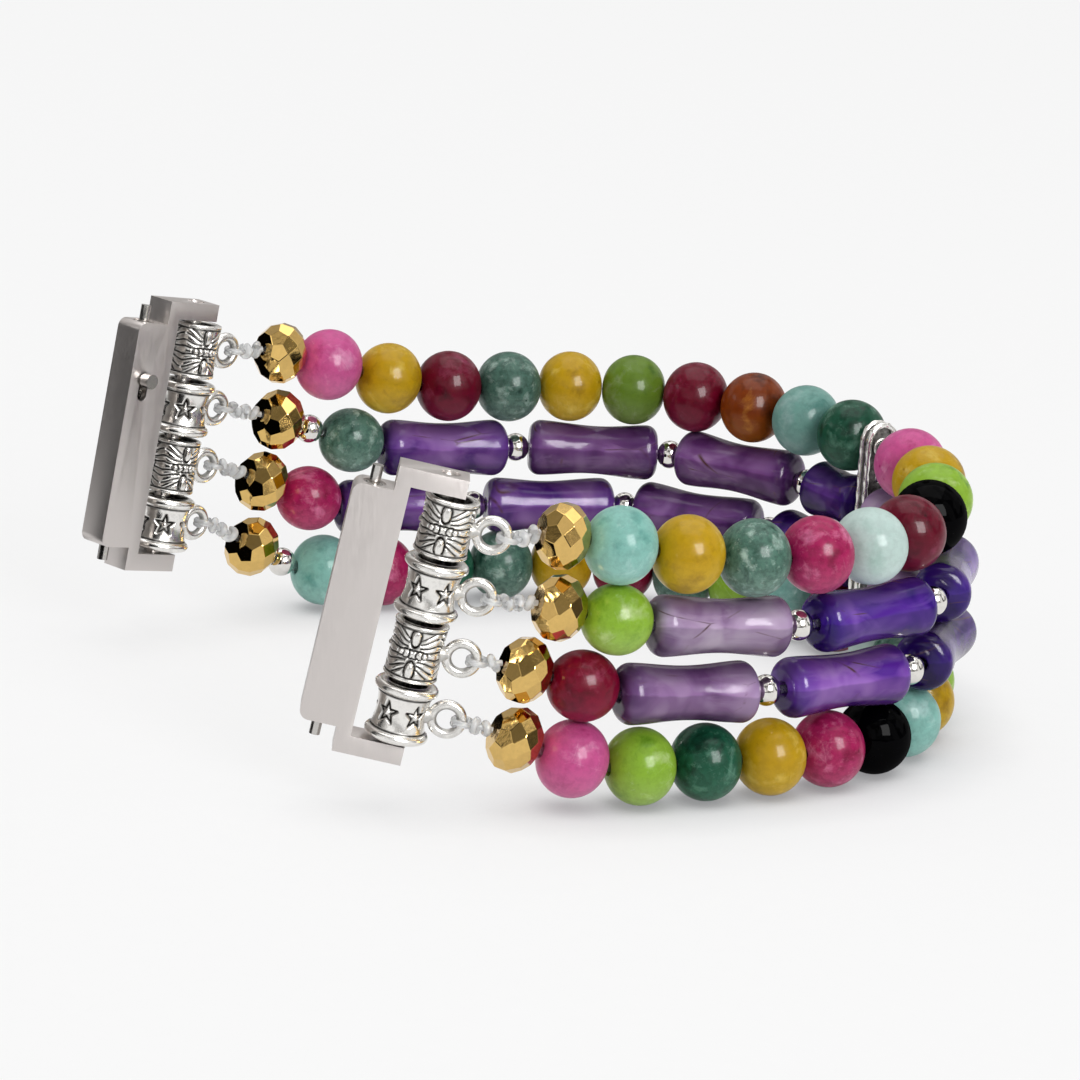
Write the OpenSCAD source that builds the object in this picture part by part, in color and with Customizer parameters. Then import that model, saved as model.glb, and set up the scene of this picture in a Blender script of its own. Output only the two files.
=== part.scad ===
// Stretch watch band: four strands of beads on elastic cord between two quick release ends.
// Seen from above it is an open loop, closed at the back and open towards -X, and it stands
// on the beads of its lowest strand. Strands count from the top, sides are near (-Y) and far (+Y).
// A place along the band is its distance s from the middle of the near row of bails.

/* [Loop] */
// Radius of the arc across the back of the loop
back_r = 32; // [28:0.5:36]
// Half angle of the back arc
back_angle = 40; // [36:1:44]
// Radius of each corner beside the back arc
corner_r = 22.5; // [20:0.5:25]
// How far the divider stands past the middle of the back
divider_shift = 2.05; // [0:0.05:4]
// Radius of the last arc, which turns each end inwards
end_r = 48; // [44:1:60]
// Angle that the last arc turns
end_angle = 22; // [16:1:24]
// How far the two middle strands belly out between the near side and the divider
belly = 2.4; // [0:0.1:2.6]

/* [Strand heights] */
// Gap between the floor strand and the one above it, and between the top two, hole to hole
outer_step = 5.78; // [5.75:0.01:6.4]
// Gap between the two middle strands, hole to hole
middle_step = 5.36; // [5.2:0.01:6]
// Gap between two strands where they come to the bails
end_step = 5.2; // [5.2:0.01:5.3]
// Height of the middle of the near row of bails
near_row_z = 15.8; // [14:0.1:18]
// How much higher the far row stands than the near row
far_lift = 2; // [0:0.1:4]
// How far each row of bails leans towards the beads, in degrees
lean = 10; // [6:1:12]

/* [Beads] */
// Diameter of the round beads in the top and the floor strand
round_d = 6.4; // [6.1:0.05:6.45]
// Diameter of the round beads in the two middle strands
small_round_d = 5.8; // [5.6:0.05:5.9]
// Length that one round bead takes on the cord
round_len = 5.9; // [5.8:0.05:6.1]
// Length that one round bead takes on the floor strand
floor_round_len = 5.85; // [5.8:0.05:6]
// Length that one amethyst tube takes
tube_len = 12; // [11.8:0.1:12.2]
// Length of the one shorter amethyst tube beside the divider
short_tube_len = 10.9; // [10:0.1:11.4]
// Length of the amethyst stub above that tube
stub_len = 7; // [6.4:0.1:7.4]
// Diameter of a tube at its ends
tube_d = 5.05; // [4.8:0.05:5.1]
// Diameter of a tube at its waist
waist_d = 4.5; // [4:0.05:4.8]
// Length that one silver ball takes
spacer_len = 2.5; // [2.4:0.05:2.6]
// Diameter of a silver ball
spacer_d = 2.6; // [2.4:0.05:2.8]
// Length that one gold rondelle takes
gold_len = 3.9; // [3.6:0.1:4.1]
// Diameter of a gold rondelle across its facets
gold_d = 5.5; // [5:0.1:5.6]
// Number of facets round a rondelle
gold_facets = 8; // [8:1:10]
// Free space left between two neighbours on a cord
bead_gap = 0.18; // [0.14:0.01:0.3]
// Hole through the round beads, the balls and the rondelles
bore_d = 1.2; // [1.1:0.05:1.4]
// Hole through the tubes
tube_bore_d = 1.6; // [1.4:0.05:1.8]
// Bare cord and knots between a row of bails and the first bead of the top strand
end_gap = 8.75; // [8.7:0.05:10]

/* [Divider] */
// Length that the divider takes on the cords
divider_t = 2; // [1.6:0.1:2.6]
// Free space on each side of the divider
divider_gap = 0.25; // [0.2:0.05:0.4]
// Depth of the divider from inside to outside
divider_depth = 3.2; // [2.8:0.1:3.8]
// Height of divider above and below its outer holes
divider_rim = 2.6; // [2.2:0.1:2.8]

/* [Cord] */
// Diameter of the elastic cord
cord_d = 0.7; // [0.6:0.05:0.75]
// How far each stretch joint opens
stretch = 3.5; // [2:0.25:4]

/* [Bails] */
// Outer diameter of a bail's tube
bail_d = 4.7; // [4.4:0.1:4.8]
// Hole through a bail's tube
bail_bore_d = 3; // [2.8:0.1:3.2]
// Free space between two bails on the rod
bail_gap = 0.1; // [0.08:0.01:0.3]
// Outer diameter of the ring on a bail
ring_d = 3.2; // [3:0.05:3.4]
// Thickness of the ring's wire
ring_wire_d = 0.75; // [0.65:0.05:0.85]
// Distance from the middle of the tube to the middle of the ring
ring_reach = 3.7; // [3.6:0.05:3.8]

/* [End bar] */
// Width of the gap that the end fits, the neck's height
neck_h = 19.9; // [17.9:0.1:19.9]
// Length of the neck
neck_len = 3.2; // [3:0.1:4]
// Height of the bar across its two arms
bar_h = 24; // [23.8:0.1:26]
// Thickness of each arm
arm_t = 1.5; // [1.2:0.05:1.6]
// Thickness of the bar from inside to outside
bar_t = 2.8; // [2.6:0.1:3.2]
// Distance from the rod to the window's far wall
window_depth = 2.9; // [2.8:0.1:3.4]
// Web between the window and the neck
web = 1.2; // [1:0.1:2]
// How far an arm reaches past the rod
arm_reach = 1.5; // [1.3:0.1:1.6]
// Corner radius of the neck
neck_corner = 0.8; // [0.4:0.1:1.2]
// Diameter of the rod that carries the bails
rod_d = 1.5; // [1.3:0.05:1.6]

/* [Spring bar] */
// Outer diameter of the spring bar's tube
spring_bar_d = 1.8; // [1.5:0.05:1.8]
// Diameter of the two tips
tip_d = 0.9; // [0.8:0.05:1]
// How far each tip stands out of the neck
tip_reach = 1.4; // [1:0.1:1.6]
// Diameter of the release knob
knob_d = 1.3; // [1.1:0.1:1.4]

/* [Hidden] */
$fn = 40;

// Order of the pieces on each strand, from the near end to the far end
top_near = ["aqua", "ochre", "teal", "magenta", "mint", "burgundy", "onyx", "lime", "ochre", "pink"];
top_far = ["forest", "aqua", "amber", "burgundy", "lime", "ochre", "teal", "burgundy", "ochre", "pink"];
floor_near = ["pink", "lime", "forest", "ochre", "magenta", "onyx", "aqua", "ochre", "lime", "teal", "mint"];
floor_far = ["burgundy", "aqua", "lime", "teal", "burgundy", "ochre", "teal", "forest", "magenta", "aqua"];
strands = [
    concat(["gold"], top_near, ["ball", "divider"], top_far, ["gold"]),
    ["gold", "lime", "tube", "ball", "tube", "ball", "tube", "ball", "tube", "divider",
        "stub", "ball", "tube", "ball", "tube", "ball", "tube", "teal", "ball", "gold"],
    ["gold", "burgundy", "tube", "ball", "tube", "ball", "tube", "ball", "tube", "ball", "divider",
        "short_tube", "ball", "tube", "ball", "tube", "ball", "tube", "magenta", "gold"],
    concat(["gold"], floor_near, ["divider"], floor_far, ["ball", "gold"])
];
// First piece of each later section on each strand
sections = ["near_end", "near_side", "near_corner", "back", "far_corner", "far_side", "far_end"];
cuts = [
    [0, 1, 4, 6, 17, 20, 22, 24],
    [0, 1, 3, 5, 14, 16, 18, 20],
    [0, 2, 3, 6, 14, 17, 18, 20],
    [0, 2, 4, 7, 17, 20, 22, 25]
];
stone_colours = [
    ["aqua", "#7fb9a9"], ["ochre", "#b8901a"], ["teal", "#3f7468"], ["magenta", "#b03060"],
    ["mint", "#afc8bf"], ["burgundy", "#5c0a24"], ["onyx", "#0a0a0c"], ["lime", "#86a83a"],
    ["pink", "#c2548a"], ["forest", "#1f6a4a"], ["amber", "#7a3408"]
];
corner_angle = 90 - back_angle;
ring_r = ring_d / 2 - ring_wire_d / 2;
gold_r = gold_d / 2;
// The cords pull each bail against the rod, which stands this far off the wall of its hole
rod_play = 0.15;
rod_x = -(bail_bore_d - rod_d) / 2 + rod_play;
rod_fit = 0.04;
// Four bails fill the window between the arms
bail_pitch = (bar_h - 2 * arm_t - 2 * bail_gap) / 4;
bail_h = bail_pitch - bail_gap;
// Spring bar: its place behind the neck's end, its knob and the seat of its spring
pin_inset = 1.6;
pin_fit = 0.06;
knob_z = 5;
knob_stem_d = 0.8;
knob_h = 0.9;
knob_gap = 0.15;
seat_z = -4;
shaft_end_z = knob_z - 1;
spring_wall = 0.2;
bar_end_play = 0.1;
shank_gap = 0.1;
shank_d = (spring_bar_d + tip_d) / 2 - shank_gap;
// Cords: sides of the tube, free end at a cut, and how far one reaches into a bead that slides on it
cord_sides = 8;
cord_end_gap = 0.1;
grip = stretch + 0.5;
hinge_cuts = [1, 3, 4, 6];
// Loop of cord round a bail's ring, and the knots beside it
loop_wire_d = 0.4;
loop_gap = 0.05;
loop_r = ring_wire_d / 2 + loop_wire_d / 2 + loop_gap;
ring_out = ring_reach + ring_r;
knot_gap = 0.15;
knot_x = ring_out + loop_r + loop_wire_d / 2 + knot_gap;
// Two lumps of the knot: distance along the cord and radius there, as far as there is room for
knot_shape = [[0, 0.2], [0.2, 0.45], [0.5, 0.58], [0.8, 0.5], [1, 0.36], [1.2, 0.46], [1.45, 0.5],
    [1.7, 0.44], [1.9, 0.35]];

// Lengths along the cord
function is_floor(strand) = strand == 3;
function piece_len(strand, name) =
    name == "gold" ? gold_len
    : name == "ball" ? spacer_len
    : name == "divider" ? divider_t
    : name == "tube" ? tube_len
    : name == "short_tube" ? short_tube_len
    : name == "stub" ? stub_len
    : is_floor(strand) ? floor_round_len : round_len;
function sum(list, n, i = 0) = i >= n ? 0 : list[i] + sum(list, n, i + 1);
function lengths(strand) = [for (name = strands[strand]) piece_len(strand, name)];
function divider_index(strand) = search(["divider"], strands[strand])[0];
function near_sum(strand) = sum(lengths(strand), divider_index(strand));
divider_s = end_gap + near_sum(0);
strand_starts = [for (i = [0:3]) divider_s - near_sum(i)];
band_len = divider_s + sum(lengths(0), len(strands[0])) - near_sum(0) + end_gap;
function piece_s(strand, i) = strand_starts[strand] + sum(lengths(strand), i);

// The loop's centre line: an arc across the back, a corner, a straight and an end arc
back_len = back_r * back_angle * PI / 180;
corner_len = corner_r * corner_angle * PI / 180;
end_len = end_r * end_angle * PI / 180;
half_near = divider_s - divider_shift;
half_far = band_len - half_near;
near_straight = half_near - back_len - corner_len - end_len;
far_straight = half_far - back_len - corner_len - end_len;
function along_arc(p, turn, r, len) =
    let (a = turn + len / r * 180 / PI)
    [p.x - r * (cos(turn) - cos(a)), p.y + r * (sin(a) - sin(turn)), a];
corner_start = along_arc([0, 0], 0, back_r, back_len);
straight_start = along_arc(corner_start, back_angle, corner_r, corner_len);
function half_line(t, straight) =
    t <= back_len ? along_arc([0, 0], 0, back_r, t)
    : t <= back_len + corner_len ? along_arc(corner_start, back_angle, corner_r, t - back_len)
    : let (rest = t - back_len - corner_len, run = min(rest, straight))
      let (p = [straight_start.x - run, straight_start.y])
      rest <= straight ? [p.x, p.y, 90]
      : along_arc(p, 90, end_r, rest - straight);
// Place and turn at s: x, y and the direction towards the far end, in degrees from +X
function line(s) =
    s < half_near
    ? let (h = half_line(half_near - s, near_straight)) [h.x, -h.y, 90 - h.z]
    : let (h = half_line(s - half_near, far_straight)) [h.x, h.y, 90 + h.z];

// Heights of the strands, flat round the loop and rising towards the ends
floor_z = round_d / 2;
flat_z = [
    floor_z + 2 * outer_step + middle_step,
    floor_z + outer_step + middle_step,
    floor_z + outer_step,
    floor_z
];
// Extra height of a strand where it meets its bail, and the length over which it rises
end_extra = [0.4, 0, 0, -0.1];
rise_len = [30, 25.8, 20.5, 17];
end_z = [for (i = [0:3]) near_row_z + (1.5 - i) * end_step * cos(lean) + end_extra[i]];
function smooth(x) = let (c = max(0, min(1, x))) c * c * (3 - 2 * c);
function height(strand, s) =
    s < half_near
    ? flat_z[strand] + (end_z[strand] - flat_z[strand]) * smooth(1 - s / rise_len[strand])
    : flat_z[strand] + (end_z[strand] + far_lift - flat_z[strand])
      * smooth(1 - (band_len - s) / rise_len[strand]);
belly_start = piece_s(1, cuts[1][2]);
function belly_out(strand, s) =
    (strand == 0 || strand == 3 || s < belly_start || s > divider_s) ? 0
    : belly * pow(sin(180 * (s - belly_start) / (divider_s - belly_start)), 2);
// A point on a strand's hole line
function strand_point(strand, s) =
    let (p = line(s), out = belly_out(strand, s))
    [p.x + out * sin(p.z), p.y - out * cos(p.z), height(strand, s)];

// Frames of the two rows of bails: local X points to the beads, local Z up the rod
function row_line(side) = side < 0 ? line(0) : line(band_len);
function row_turn(side) = side < 0 ? row_line(side).z : row_line(side).z + 180;
function row_z(side) = side < 0 ? near_row_z : near_row_z + far_lift;
function row_to_band(side, p) =
    let (q = [p.x * cos(lean) + p.z * sin(lean), p.y, p.z * cos(lean) - p.x * sin(lean)])
    let (a = row_turn(side), o = row_line(side))
    [o.x + q.x * cos(a) - q.y * sin(a), o.y + q.x * sin(a) + q.y * cos(a), row_z(side) + q.z];

// The origin: under the middle of the whole band's box
bar_end_x = rod_x - window_depth - web - neck_len;
pin_x = bar_end_x + pin_inset;
round_xs = [for (strand = [0, 3], i = [1:len(strands[strand]) - 2])
    if (sort_of(strands[strand][i]) == "stone")
        (strand_point(strand, piece_s(strand, i)).x + strand_point(strand, piece_s(strand, i + 1)).x
            + round_d) / 2];
bar_xs = [for (side = [-1, 1], y = [-1, 1], z = [-1, 1])
    row_to_band(side, [bar_end_x + neck_corner, y * bar_t / 2, z * (neck_h / 2 - neck_corner)]).x
    - neck_corner * abs(cos(row_turn(side)))];
mid_x = (max(round_xs) + min(bar_xs)) / 2;

module in_band() {
    translate([-mid_x, 0, 0]) children();
}

module at_row(side) {
    o = row_line(side);
    in_band()
        translate([o.x, o.y, row_z(side)])
        rotate([0, 0, row_turn(side)])
        rotate([0, lean, 0])
        children();
}

// Turns the children's Z from point a to point b, with their origin half way
module between(a, b) {
    d = b - a;
    translate((a + b) / 2)
        rotate([0, acos(d.z / norm(d)), atan2(d.y, d.x)])
        children();
}

// A bead of revolution about Z, rounded from hole to hole
module round_bead(d, len, hole) {
    r = (len - bead_gap) / 2;
    rotate_extrude()
        intersection() {
            translate([d / 2 - r, 0]) circle(r);
            translate([hole / 2, -len / 2]) square([d, len]);
        }
}

// A tube bead with full ends and a drawn in waist
module tube_bead(len) {
    l = len - bead_gap;
    edge = 0.8;
    drop = (tube_d - waist_d) / 2;
    half = l / 2 - 2 * edge;
    waist_r = (half * half + drop * drop) / (2 * drop);
    hole = tube_bore_d / 2;
    rotate_extrude() {
        difference() {
            translate([hole, -l / 2 + edge]) square([tube_d / 2 - hole, l - 2 * edge]);
            translate([waist_d / 2 + waist_r, 0]) circle(waist_r, $fn = 200);
        }
        for (end = [-1, 1]) {
            translate([tube_d / 2 - edge, end * (l / 2 - edge)]) circle(edge);
            translate([hole, end * (l / 2 - edge) - edge]) square([tube_d / 2 - edge - hole, 2 * edge]);
        }
    }
}

// A rondelle cut in kites: a small table round each hole and two crowns that meet at the girdle
module gold_bead() {
    l = gold_len - bead_gap;
    n = gold_facets;
    step = 360 / n;
    table_r = gold_r * 0.48;
    crown_r = (table_r + gold_r) / 2 / cos(step / 2);
    rings = [[table_r, l / 2, 0], [crown_r, l / 4, 0.5], [gold_r, 0, 0], [crown_r, -l / 4, 0.5],
        [table_r, -l / 2, 0]];
    points = [for (ring = rings, i = [0:n - 1])
        [ring.x * cos((i + ring.z) * step), ring.x * sin((i + ring.z) * step), ring.y]];
    function at(ring, i) = ring * n + (i + n) % n;
    faces = concat(
        [[for (i = [n - 1:-1:0]) at(0, i)]],
        [for (i = [0:n - 1]) each [
            [at(0, i), at(0, i + 1), at(1, i)],
            [at(0, i), at(1, i), at(2, i)], [at(0, i), at(2, i), at(1, i - 1)],
            [at(1, i), at(2, i + 1), at(2, i)],
            [at(2, i), at(2, i + 1), at(3, i)],
            [at(4, i), at(2, i), at(3, i)], [at(4, i), at(3, i - 1), at(2, i)],
            [at(4, i), at(3, i), at(4, i + 1)]]],
        [[for (i = [0:n - 1]) at(4, i)]]
    );
    difference() {
        polyhedron(points, faces);
        cylinder(h = gold_len, d = bore_d, center = true);
    }
}

module piece(strand, i) {
    name = strands[strand][i];
    a = strand_point(strand, piece_s(strand, i));
    b = strand_point(strand, piece_s(strand, i + 1));
    in_band() between(a, b) {
        if (name == "gold") color("goldenrod") gold_bead();
        else if (name == "ball") color("silver") round_bead(spacer_d, spacer_len, bore_d);
        else if (sort_of(name) == "tube") color("rebeccapurple") tube_bead(piece_len(strand, name));
        else color(stone_colours[search([name], stone_colours)[0]][1])
            round_bead(
                (strand == 0 || is_floor(strand)) ? round_d : small_round_d,
                piece_len(strand, name), bore_d);
    }
}

// What a piece is, by its name on the strand
function sort_of(name) =
    (name == "gold" || name == "divider" || name == "ball") ? name
    : (name == "tube" || name == "short_tube" || name == "stub") ? "tube"
    : "stone";

// All pieces of one sort in one section
module pieces(section, sort) {
    k = search([section], sections)[0];
    for (strand = [0:3])
        for (i = [cuts[strand][k]:cuts[strand][k + 1] - 1])
            if (sort_of(strands[strand][i]) == sort) piece(strand, i);
}

module gold(side, strand) {
    piece(strand, side < 0 ? 0 : len(strands[strand]) - 1);
}

// Bar across the loop, with a hole for each strand
module divider() {
    s = divider_s + divider_t / 2;
    p = line(s);
    t = divider_t - 2 * divider_gap;
    r = divider_depth / 2;
    low = flat_z[3] - divider_rim + r;
    high = flat_z[0] + divider_rim - r;
    color("gainsboro")
        in_band() translate([p.x, p.y, 0]) rotate([0, 0, p.z])
        difference() {
            rotate([90, 0, 90]) linear_extrude(t, center = true) {
                translate([-r, low]) square([2 * r, high - low]);
                for (z = [low, high]) translate([0, z]) circle(r);
            }
            for (z = flat_z)
                translate([0, 0, z]) rotate([0, 90, 0]) cylinder(h = 2 * divider_t, d = bore_d, center = true);
        }
}

// Elastic cord

// The vertex of a strand before its piece i, and a point d further towards another vertex
function vertex(strand, i) = strand_point(strand, piece_s(strand, i));
function toward(a, b, d) = a + (b - a) * d / norm(b - a);
function is_hinge(k) = len([for (h = hinge_cuts) if (h == k) h]) > 0;
// Cord's first and last points in section k: cut short at a hinge, telescoped at a stretch joint
function cord_start(strand, k) =
    let (i = cuts[strand][k], v = vertex(strand, i))
    is_hinge(k) ? toward(v, vertex(strand, i + 1), cord_end_gap)
    : k == 2 ? toward(v, vertex(strand, i - 1), grip)
    : toward(v, vertex(strand, i + 1), grip + 2 * cord_end_gap);
function cord_end(strand, k) =
    let (i = cuts[strand][k], v = vertex(strand, i))
    is_hinge(k) ? toward(v, vertex(strand, i - 1), cord_end_gap)
    : k == 2 ? toward(v, vertex(strand, i - 1), grip + 2 * cord_end_gap)
    : toward(v, vertex(strand, i + 1), grip);

function unit(v) = v / norm(v);
// One ring of points round the cord at point i of its run
function cord_ring(points, i, r) =
    let (last = len(points) - 1)
    let (d = unit(points[min(i + 1, last)] - points[max(i - 1, 0)]))
    let (side = unit(cross(d, [0, 0, 1])), up = cross(side, d))
    [for (k = [0:cord_sides - 1])
        let (a = 360 * k / cord_sides) points[i] + r * (cos(a) * side + sin(a) * up)];

// A cord swept through a run of points, as one closed tube, thicker over its first points if asked
module cord_run(points, radii = []) {
    last = len(points) - 1;
    n = cord_sides;
    rings = [for (i = [0:last]) each cord_ring(points, i, i < len(radii) ? radii[i] : cord_d / 2)];
    faces = concat(
        [[for (k = [n - 1:-1:0]) k]],
        [for (i = [0:last - 1], k = [0:n - 1]) each [
            [i * n + k, (i + 1) * n + (k + 1) % n, (i + 1) * n + k],
            [i * n + k, i * n + (k + 1) % n, (i + 1) * n + (k + 1) % n]]],
        [[for (k = [0:n - 1]) last * n + k]]
    );
    polyhedron(rings, faces);
}

// The vertices inside section k, with the one at a cut that its cord passes through
function inner_vertices(strand, k) =
    let (first = cuts[strand][k] + (k == 2 ? 0 : 1), last = cuts[strand][k + 1] - (k == 4 ? 0 : 1))
    [for (i = [first:1:last]) vertex(strand, i)];

module section_cords(section) {
    k = search([section], sections)[0];
    color("white")
        in_band()
        for (strand = [0:3])
            cord_run(concat([cord_start(strand, k)], inner_vertices(strand, k),
                [cord_end(strand, k + 1)]));
}

// The last cords, each with its loop round a bail's ring and its knots, in the row's frame
function bail_z(strand) = (1.5 - strand) * bail_pitch;

module end_cords(side) {
    k = side < 0 ? 0 : 6;
    color("white")
        for (strand = [0:3]) {
            knot = row_to_band(side, [knot_x, 0, bail_z(strand)]);
            bead = vertex(strand, side < 0 ? 0 : len(strands[strand]));
            inner = inner_vertices(strand, k);
            last = len(inner) - 1;
            lumps = [for (p = knot_shape) if (p.x < norm(bead - knot) - cord_end_gap) p];
            in_band()
                cord_run(
                    concat([for (p = lumps) toward(knot, bead, p.x)], [bead],
                        side < 0 ? inner : [for (i = [last:-1:0]) inner[i]],
                        [side < 0 ? cord_end(strand, 1) : cord_start(strand, 6)]),
                    [for (p = lumps) p.y]);
            at_row(side) translate([ring_out, 0, bail_z(strand)])
                rotate_extrude() translate([loop_r, 0]) circle(d = loop_wire_d, $fn = 24);
        }
}

// Bails, numbered from the top: 1 and 3 straight with fine rims, 2 and 4 drums with thick rims
module bail(side, strand) {
    drum = strand % 2 == 1;
    rim = drum ? 0.9 : 0.5;
    dip = drum ? 0.35 : 0.12;
    color("silver")
        at_row(side) translate([0, 0, bail_z(strand)])
        difference() {
            union() {
                cylinder(h = bail_h, d = bail_d - 2 * dip, center = true);
                for (end = [-1, 1])
                    translate([0, 0, end * (bail_h - rim) / 2])
                        cylinder(h = rim, d = bail_d, center = true);
                translate([ring_reach, 0, 0]) rotate([90, 0, 0])
                    rotate_extrude() translate([ring_r, 0]) circle(d = ring_wire_d, $fn = 24);
                translate([bail_d / 2 - dip - 0.3, 0, 0]) rotate([0, 90, 0])
                    cylinder(h = ring_reach - ring_d / 2 + ring_wire_d - bail_d / 2 + dip + 0.2, d = 1.2);
            }
            cylinder(h = 2 * bail_h, d = bail_bore_d, center = true);
        }
}

// End bar: arms on both sides of the bails, a web behind them and a neck for the lugs
module end_bar(side) {
    body_x = rod_x - window_depth - web;
    body_len = window_depth + web + arm_reach;
    inner = -side;
    color("lightgray")
        at_row(side)
        difference() {
            rotate([90, 0, 0]) linear_extrude(bar_t, center = true) {
                translate([body_x, -bar_h / 2]) square([body_len, bar_h]);
                translate([bar_end_x + neck_corner, -neck_h / 2]) square([neck_len, neck_h]);
                translate([bar_end_x, -neck_h / 2 + neck_corner])
                    square([neck_len, neck_h - 2 * neck_corner]);
                for (z = [-1, 1])
                    translate([bar_end_x + neck_corner, z * (neck_h / 2 - neck_corner)])
                        circle(neck_corner);
            }
            translate([rod_x - window_depth, -bar_t, -bar_h / 2 + arm_t])
                cube([body_len, 2 * bar_t, bar_h - 2 * arm_t]);
            translate([rod_x, 0, 0]) cylinder(h = 2 * bar_h, d = rod_d + rod_fit, center = true);
            translate([pin_x, 0, 0]) cylinder(h = 2 * bar_h, d = spring_bar_d + pin_fit, center = true);
            knob_slot(inner);
        }
}

// Way of the release knob's stem out of the neck's inner face
module knob_slot(inner) {
    r = knob_stem_d / 2 + 0.1;
    translate([pin_x, 0, 0])
        rotate([inner > 0 ? -90 : 90, 0, 0])
        linear_extrude(2 * bar_t) {
            for (z = [knob_z, knob_z - tip_reach]) translate([0, -inner * z]) circle(r);
            translate([-r, -inner * knob_z + (inner > 0 ? 0 : -tip_reach)]) square([2 * r, tip_reach]);
        }
}

module cross_rod(side) {
    color("silver")
        at_row(side) translate([rod_x, 0, 0]) cylinder(h = bar_h - 0.4, d = rod_d, center = true);
}

// Spring bar: a tube with a fixed tip below, bored from above for the release tip and its spring
module spring_bar(side) {
    l = neck_h - 2 * bar_end_play;
    color("silver")
        at_row(side)
        difference() {
            translate([pin_x, 0, 0]) {
                cylinder(h = l, d = spring_bar_d, center = true);
                translate([0, 0, -neck_h / 2 - tip_reach]) cylinder(h = tip_reach + 1, d = tip_d);
            }
            translate([pin_x, 0, seat_z]) cylinder(h = l, d = shank_d + shank_gap);
            knob_slot(-side);
        }
}

module release_tip(side) {
    inner = -side;
    color("silver")
        at_row(side) translate([pin_x, 0, 0]) {
            translate([0, 0, shaft_end_z])
                cylinder(h = neck_h / 2 - bar_end_play - shaft_end_z, d = shank_d);
            translate([0, 0, knob_z]) cylinder(h = neck_h / 2 + tip_reach - knob_z, d = tip_d);
            translate([0, 0, knob_z]) rotate([inner > 0 ? -90 : 90, 0, 0]) {
                cylinder(h = bar_t / 2 + 2 * knob_gap, d = knob_stem_d);
                translate([0, 0, bar_t / 2 + knob_gap]) cylinder(h = knob_h, d = knob_d);
            }
        }
}

module tip_spring(side) {
    h = shaft_end_z - seat_z - 0.1;
    color("gray")
        at_row(side) translate([pin_x, 0, seat_z + 0.05])
        difference() {
            cylinder(h = h, d = shank_d);
            translate([0, 0, -1]) cylinder(h = h + 2, d = shank_d - 2 * spring_wall);
        }
}

divider();  // divider_bar
pieces("back", "stone");  // back_round_beads
pieces("back", "tube");  // back_amethyst_tubes
pieces("back", "ball");  // back_silver_balls
section_cords("back");  // back_cords
pieces("near_corner", "stone");  // near_corner_round_beads
pieces("near_corner", "tube");  // near_corner_amethyst_tubes
pieces("near_corner", "ball");  // near_corner_silver_balls
section_cords("near_corner");  // near_corner_cords
pieces("near_side", "stone");  // near_side_round_beads
pieces("near_side", "tube");  // near_side_amethyst_tubes
section_cords("near_side");  // near_side_cords
pieces("near_end", "stone");  // near_end_round_beads
end_cords(-1);  // near_end_cords
gold(-1, 0);  // near_gold_bead_1
gold(-1, 1);  // near_gold_bead_2
gold(-1, 2);  // near_gold_bead_3
gold(-1, 3);  // near_gold_bead_4
bail(-1, 0);  // near_bail_1
bail(-1, 1);  // near_bail_2
bail(-1, 2);  // near_bail_3
bail(-1, 3);  // near_bail_4
end_bar(-1);  // near_end_bar
cross_rod(-1);  // near_cross_rod
spring_bar(-1);  // near_spring_bar
release_tip(-1);  // near_release_tip
tip_spring(-1);  // near_tip_spring
pieces("far_corner", "stone");  // far_corner_round_beads
pieces("far_corner", "tube");  // far_corner_amethyst_tubes
pieces("far_corner", "ball");  // far_corner_silver_balls
section_cords("far_corner");  // far_corner_cords
pieces("far_side", "stone");  // far_side_round_beads
pieces("far_side", "tube");  // far_side_amethyst_tubes
section_cords("far_side");  // far_side_cords
pieces("far_end", "stone");  // far_end_round_beads
pieces("far_end", "ball");  // far_end_silver_balls
end_cords(1);  // far_end_cords
gold(1, 0);  // far_gold_bead_1
gold(1, 1);  // far_gold_bead_2
gold(1, 2);  // far_gold_bead_3
gold(1, 3);  // far_gold_bead_4
bail(1, 0);  // far_bail_1
bail(1, 1);  // far_bail_2
bail(1, 2);  // far_bail_3
bail(1, 3);  // far_bail_4
end_bar(1);  // far_end_bar
cross_rod(1);  // far_cross_rod
spring_bar(1);  // far_spring_bar
release_tip(1);  // far_release_tip
tip_spring(1);  // far_tip_spring
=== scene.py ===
"""Looks of a stretch watch band: gemstone beads in four strands between two quick release ends."""

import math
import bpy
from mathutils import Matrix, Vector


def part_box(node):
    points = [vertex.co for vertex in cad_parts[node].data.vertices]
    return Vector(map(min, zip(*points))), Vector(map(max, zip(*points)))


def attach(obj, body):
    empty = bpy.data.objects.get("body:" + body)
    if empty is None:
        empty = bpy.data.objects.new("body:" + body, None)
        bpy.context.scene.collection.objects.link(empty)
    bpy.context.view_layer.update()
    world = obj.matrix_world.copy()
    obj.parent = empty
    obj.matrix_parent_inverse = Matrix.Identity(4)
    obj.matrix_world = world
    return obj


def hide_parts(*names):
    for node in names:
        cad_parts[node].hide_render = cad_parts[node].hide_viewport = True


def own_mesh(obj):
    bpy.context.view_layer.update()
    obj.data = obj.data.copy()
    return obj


bl_info = {
    "name": "Stretch watch band",
    "version": (1, 0, 0),
    "blender": (4, 5, 0),
    "location": "View3D > Sidebar > Band",
    "description": "Builds the beads, bails, cords and ends of a stretch watch band on its frame",
    "category": "Object",
}

import bmesh
import bpy
import numpy as np
from mathutils import Matrix, Vector, noise

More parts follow.
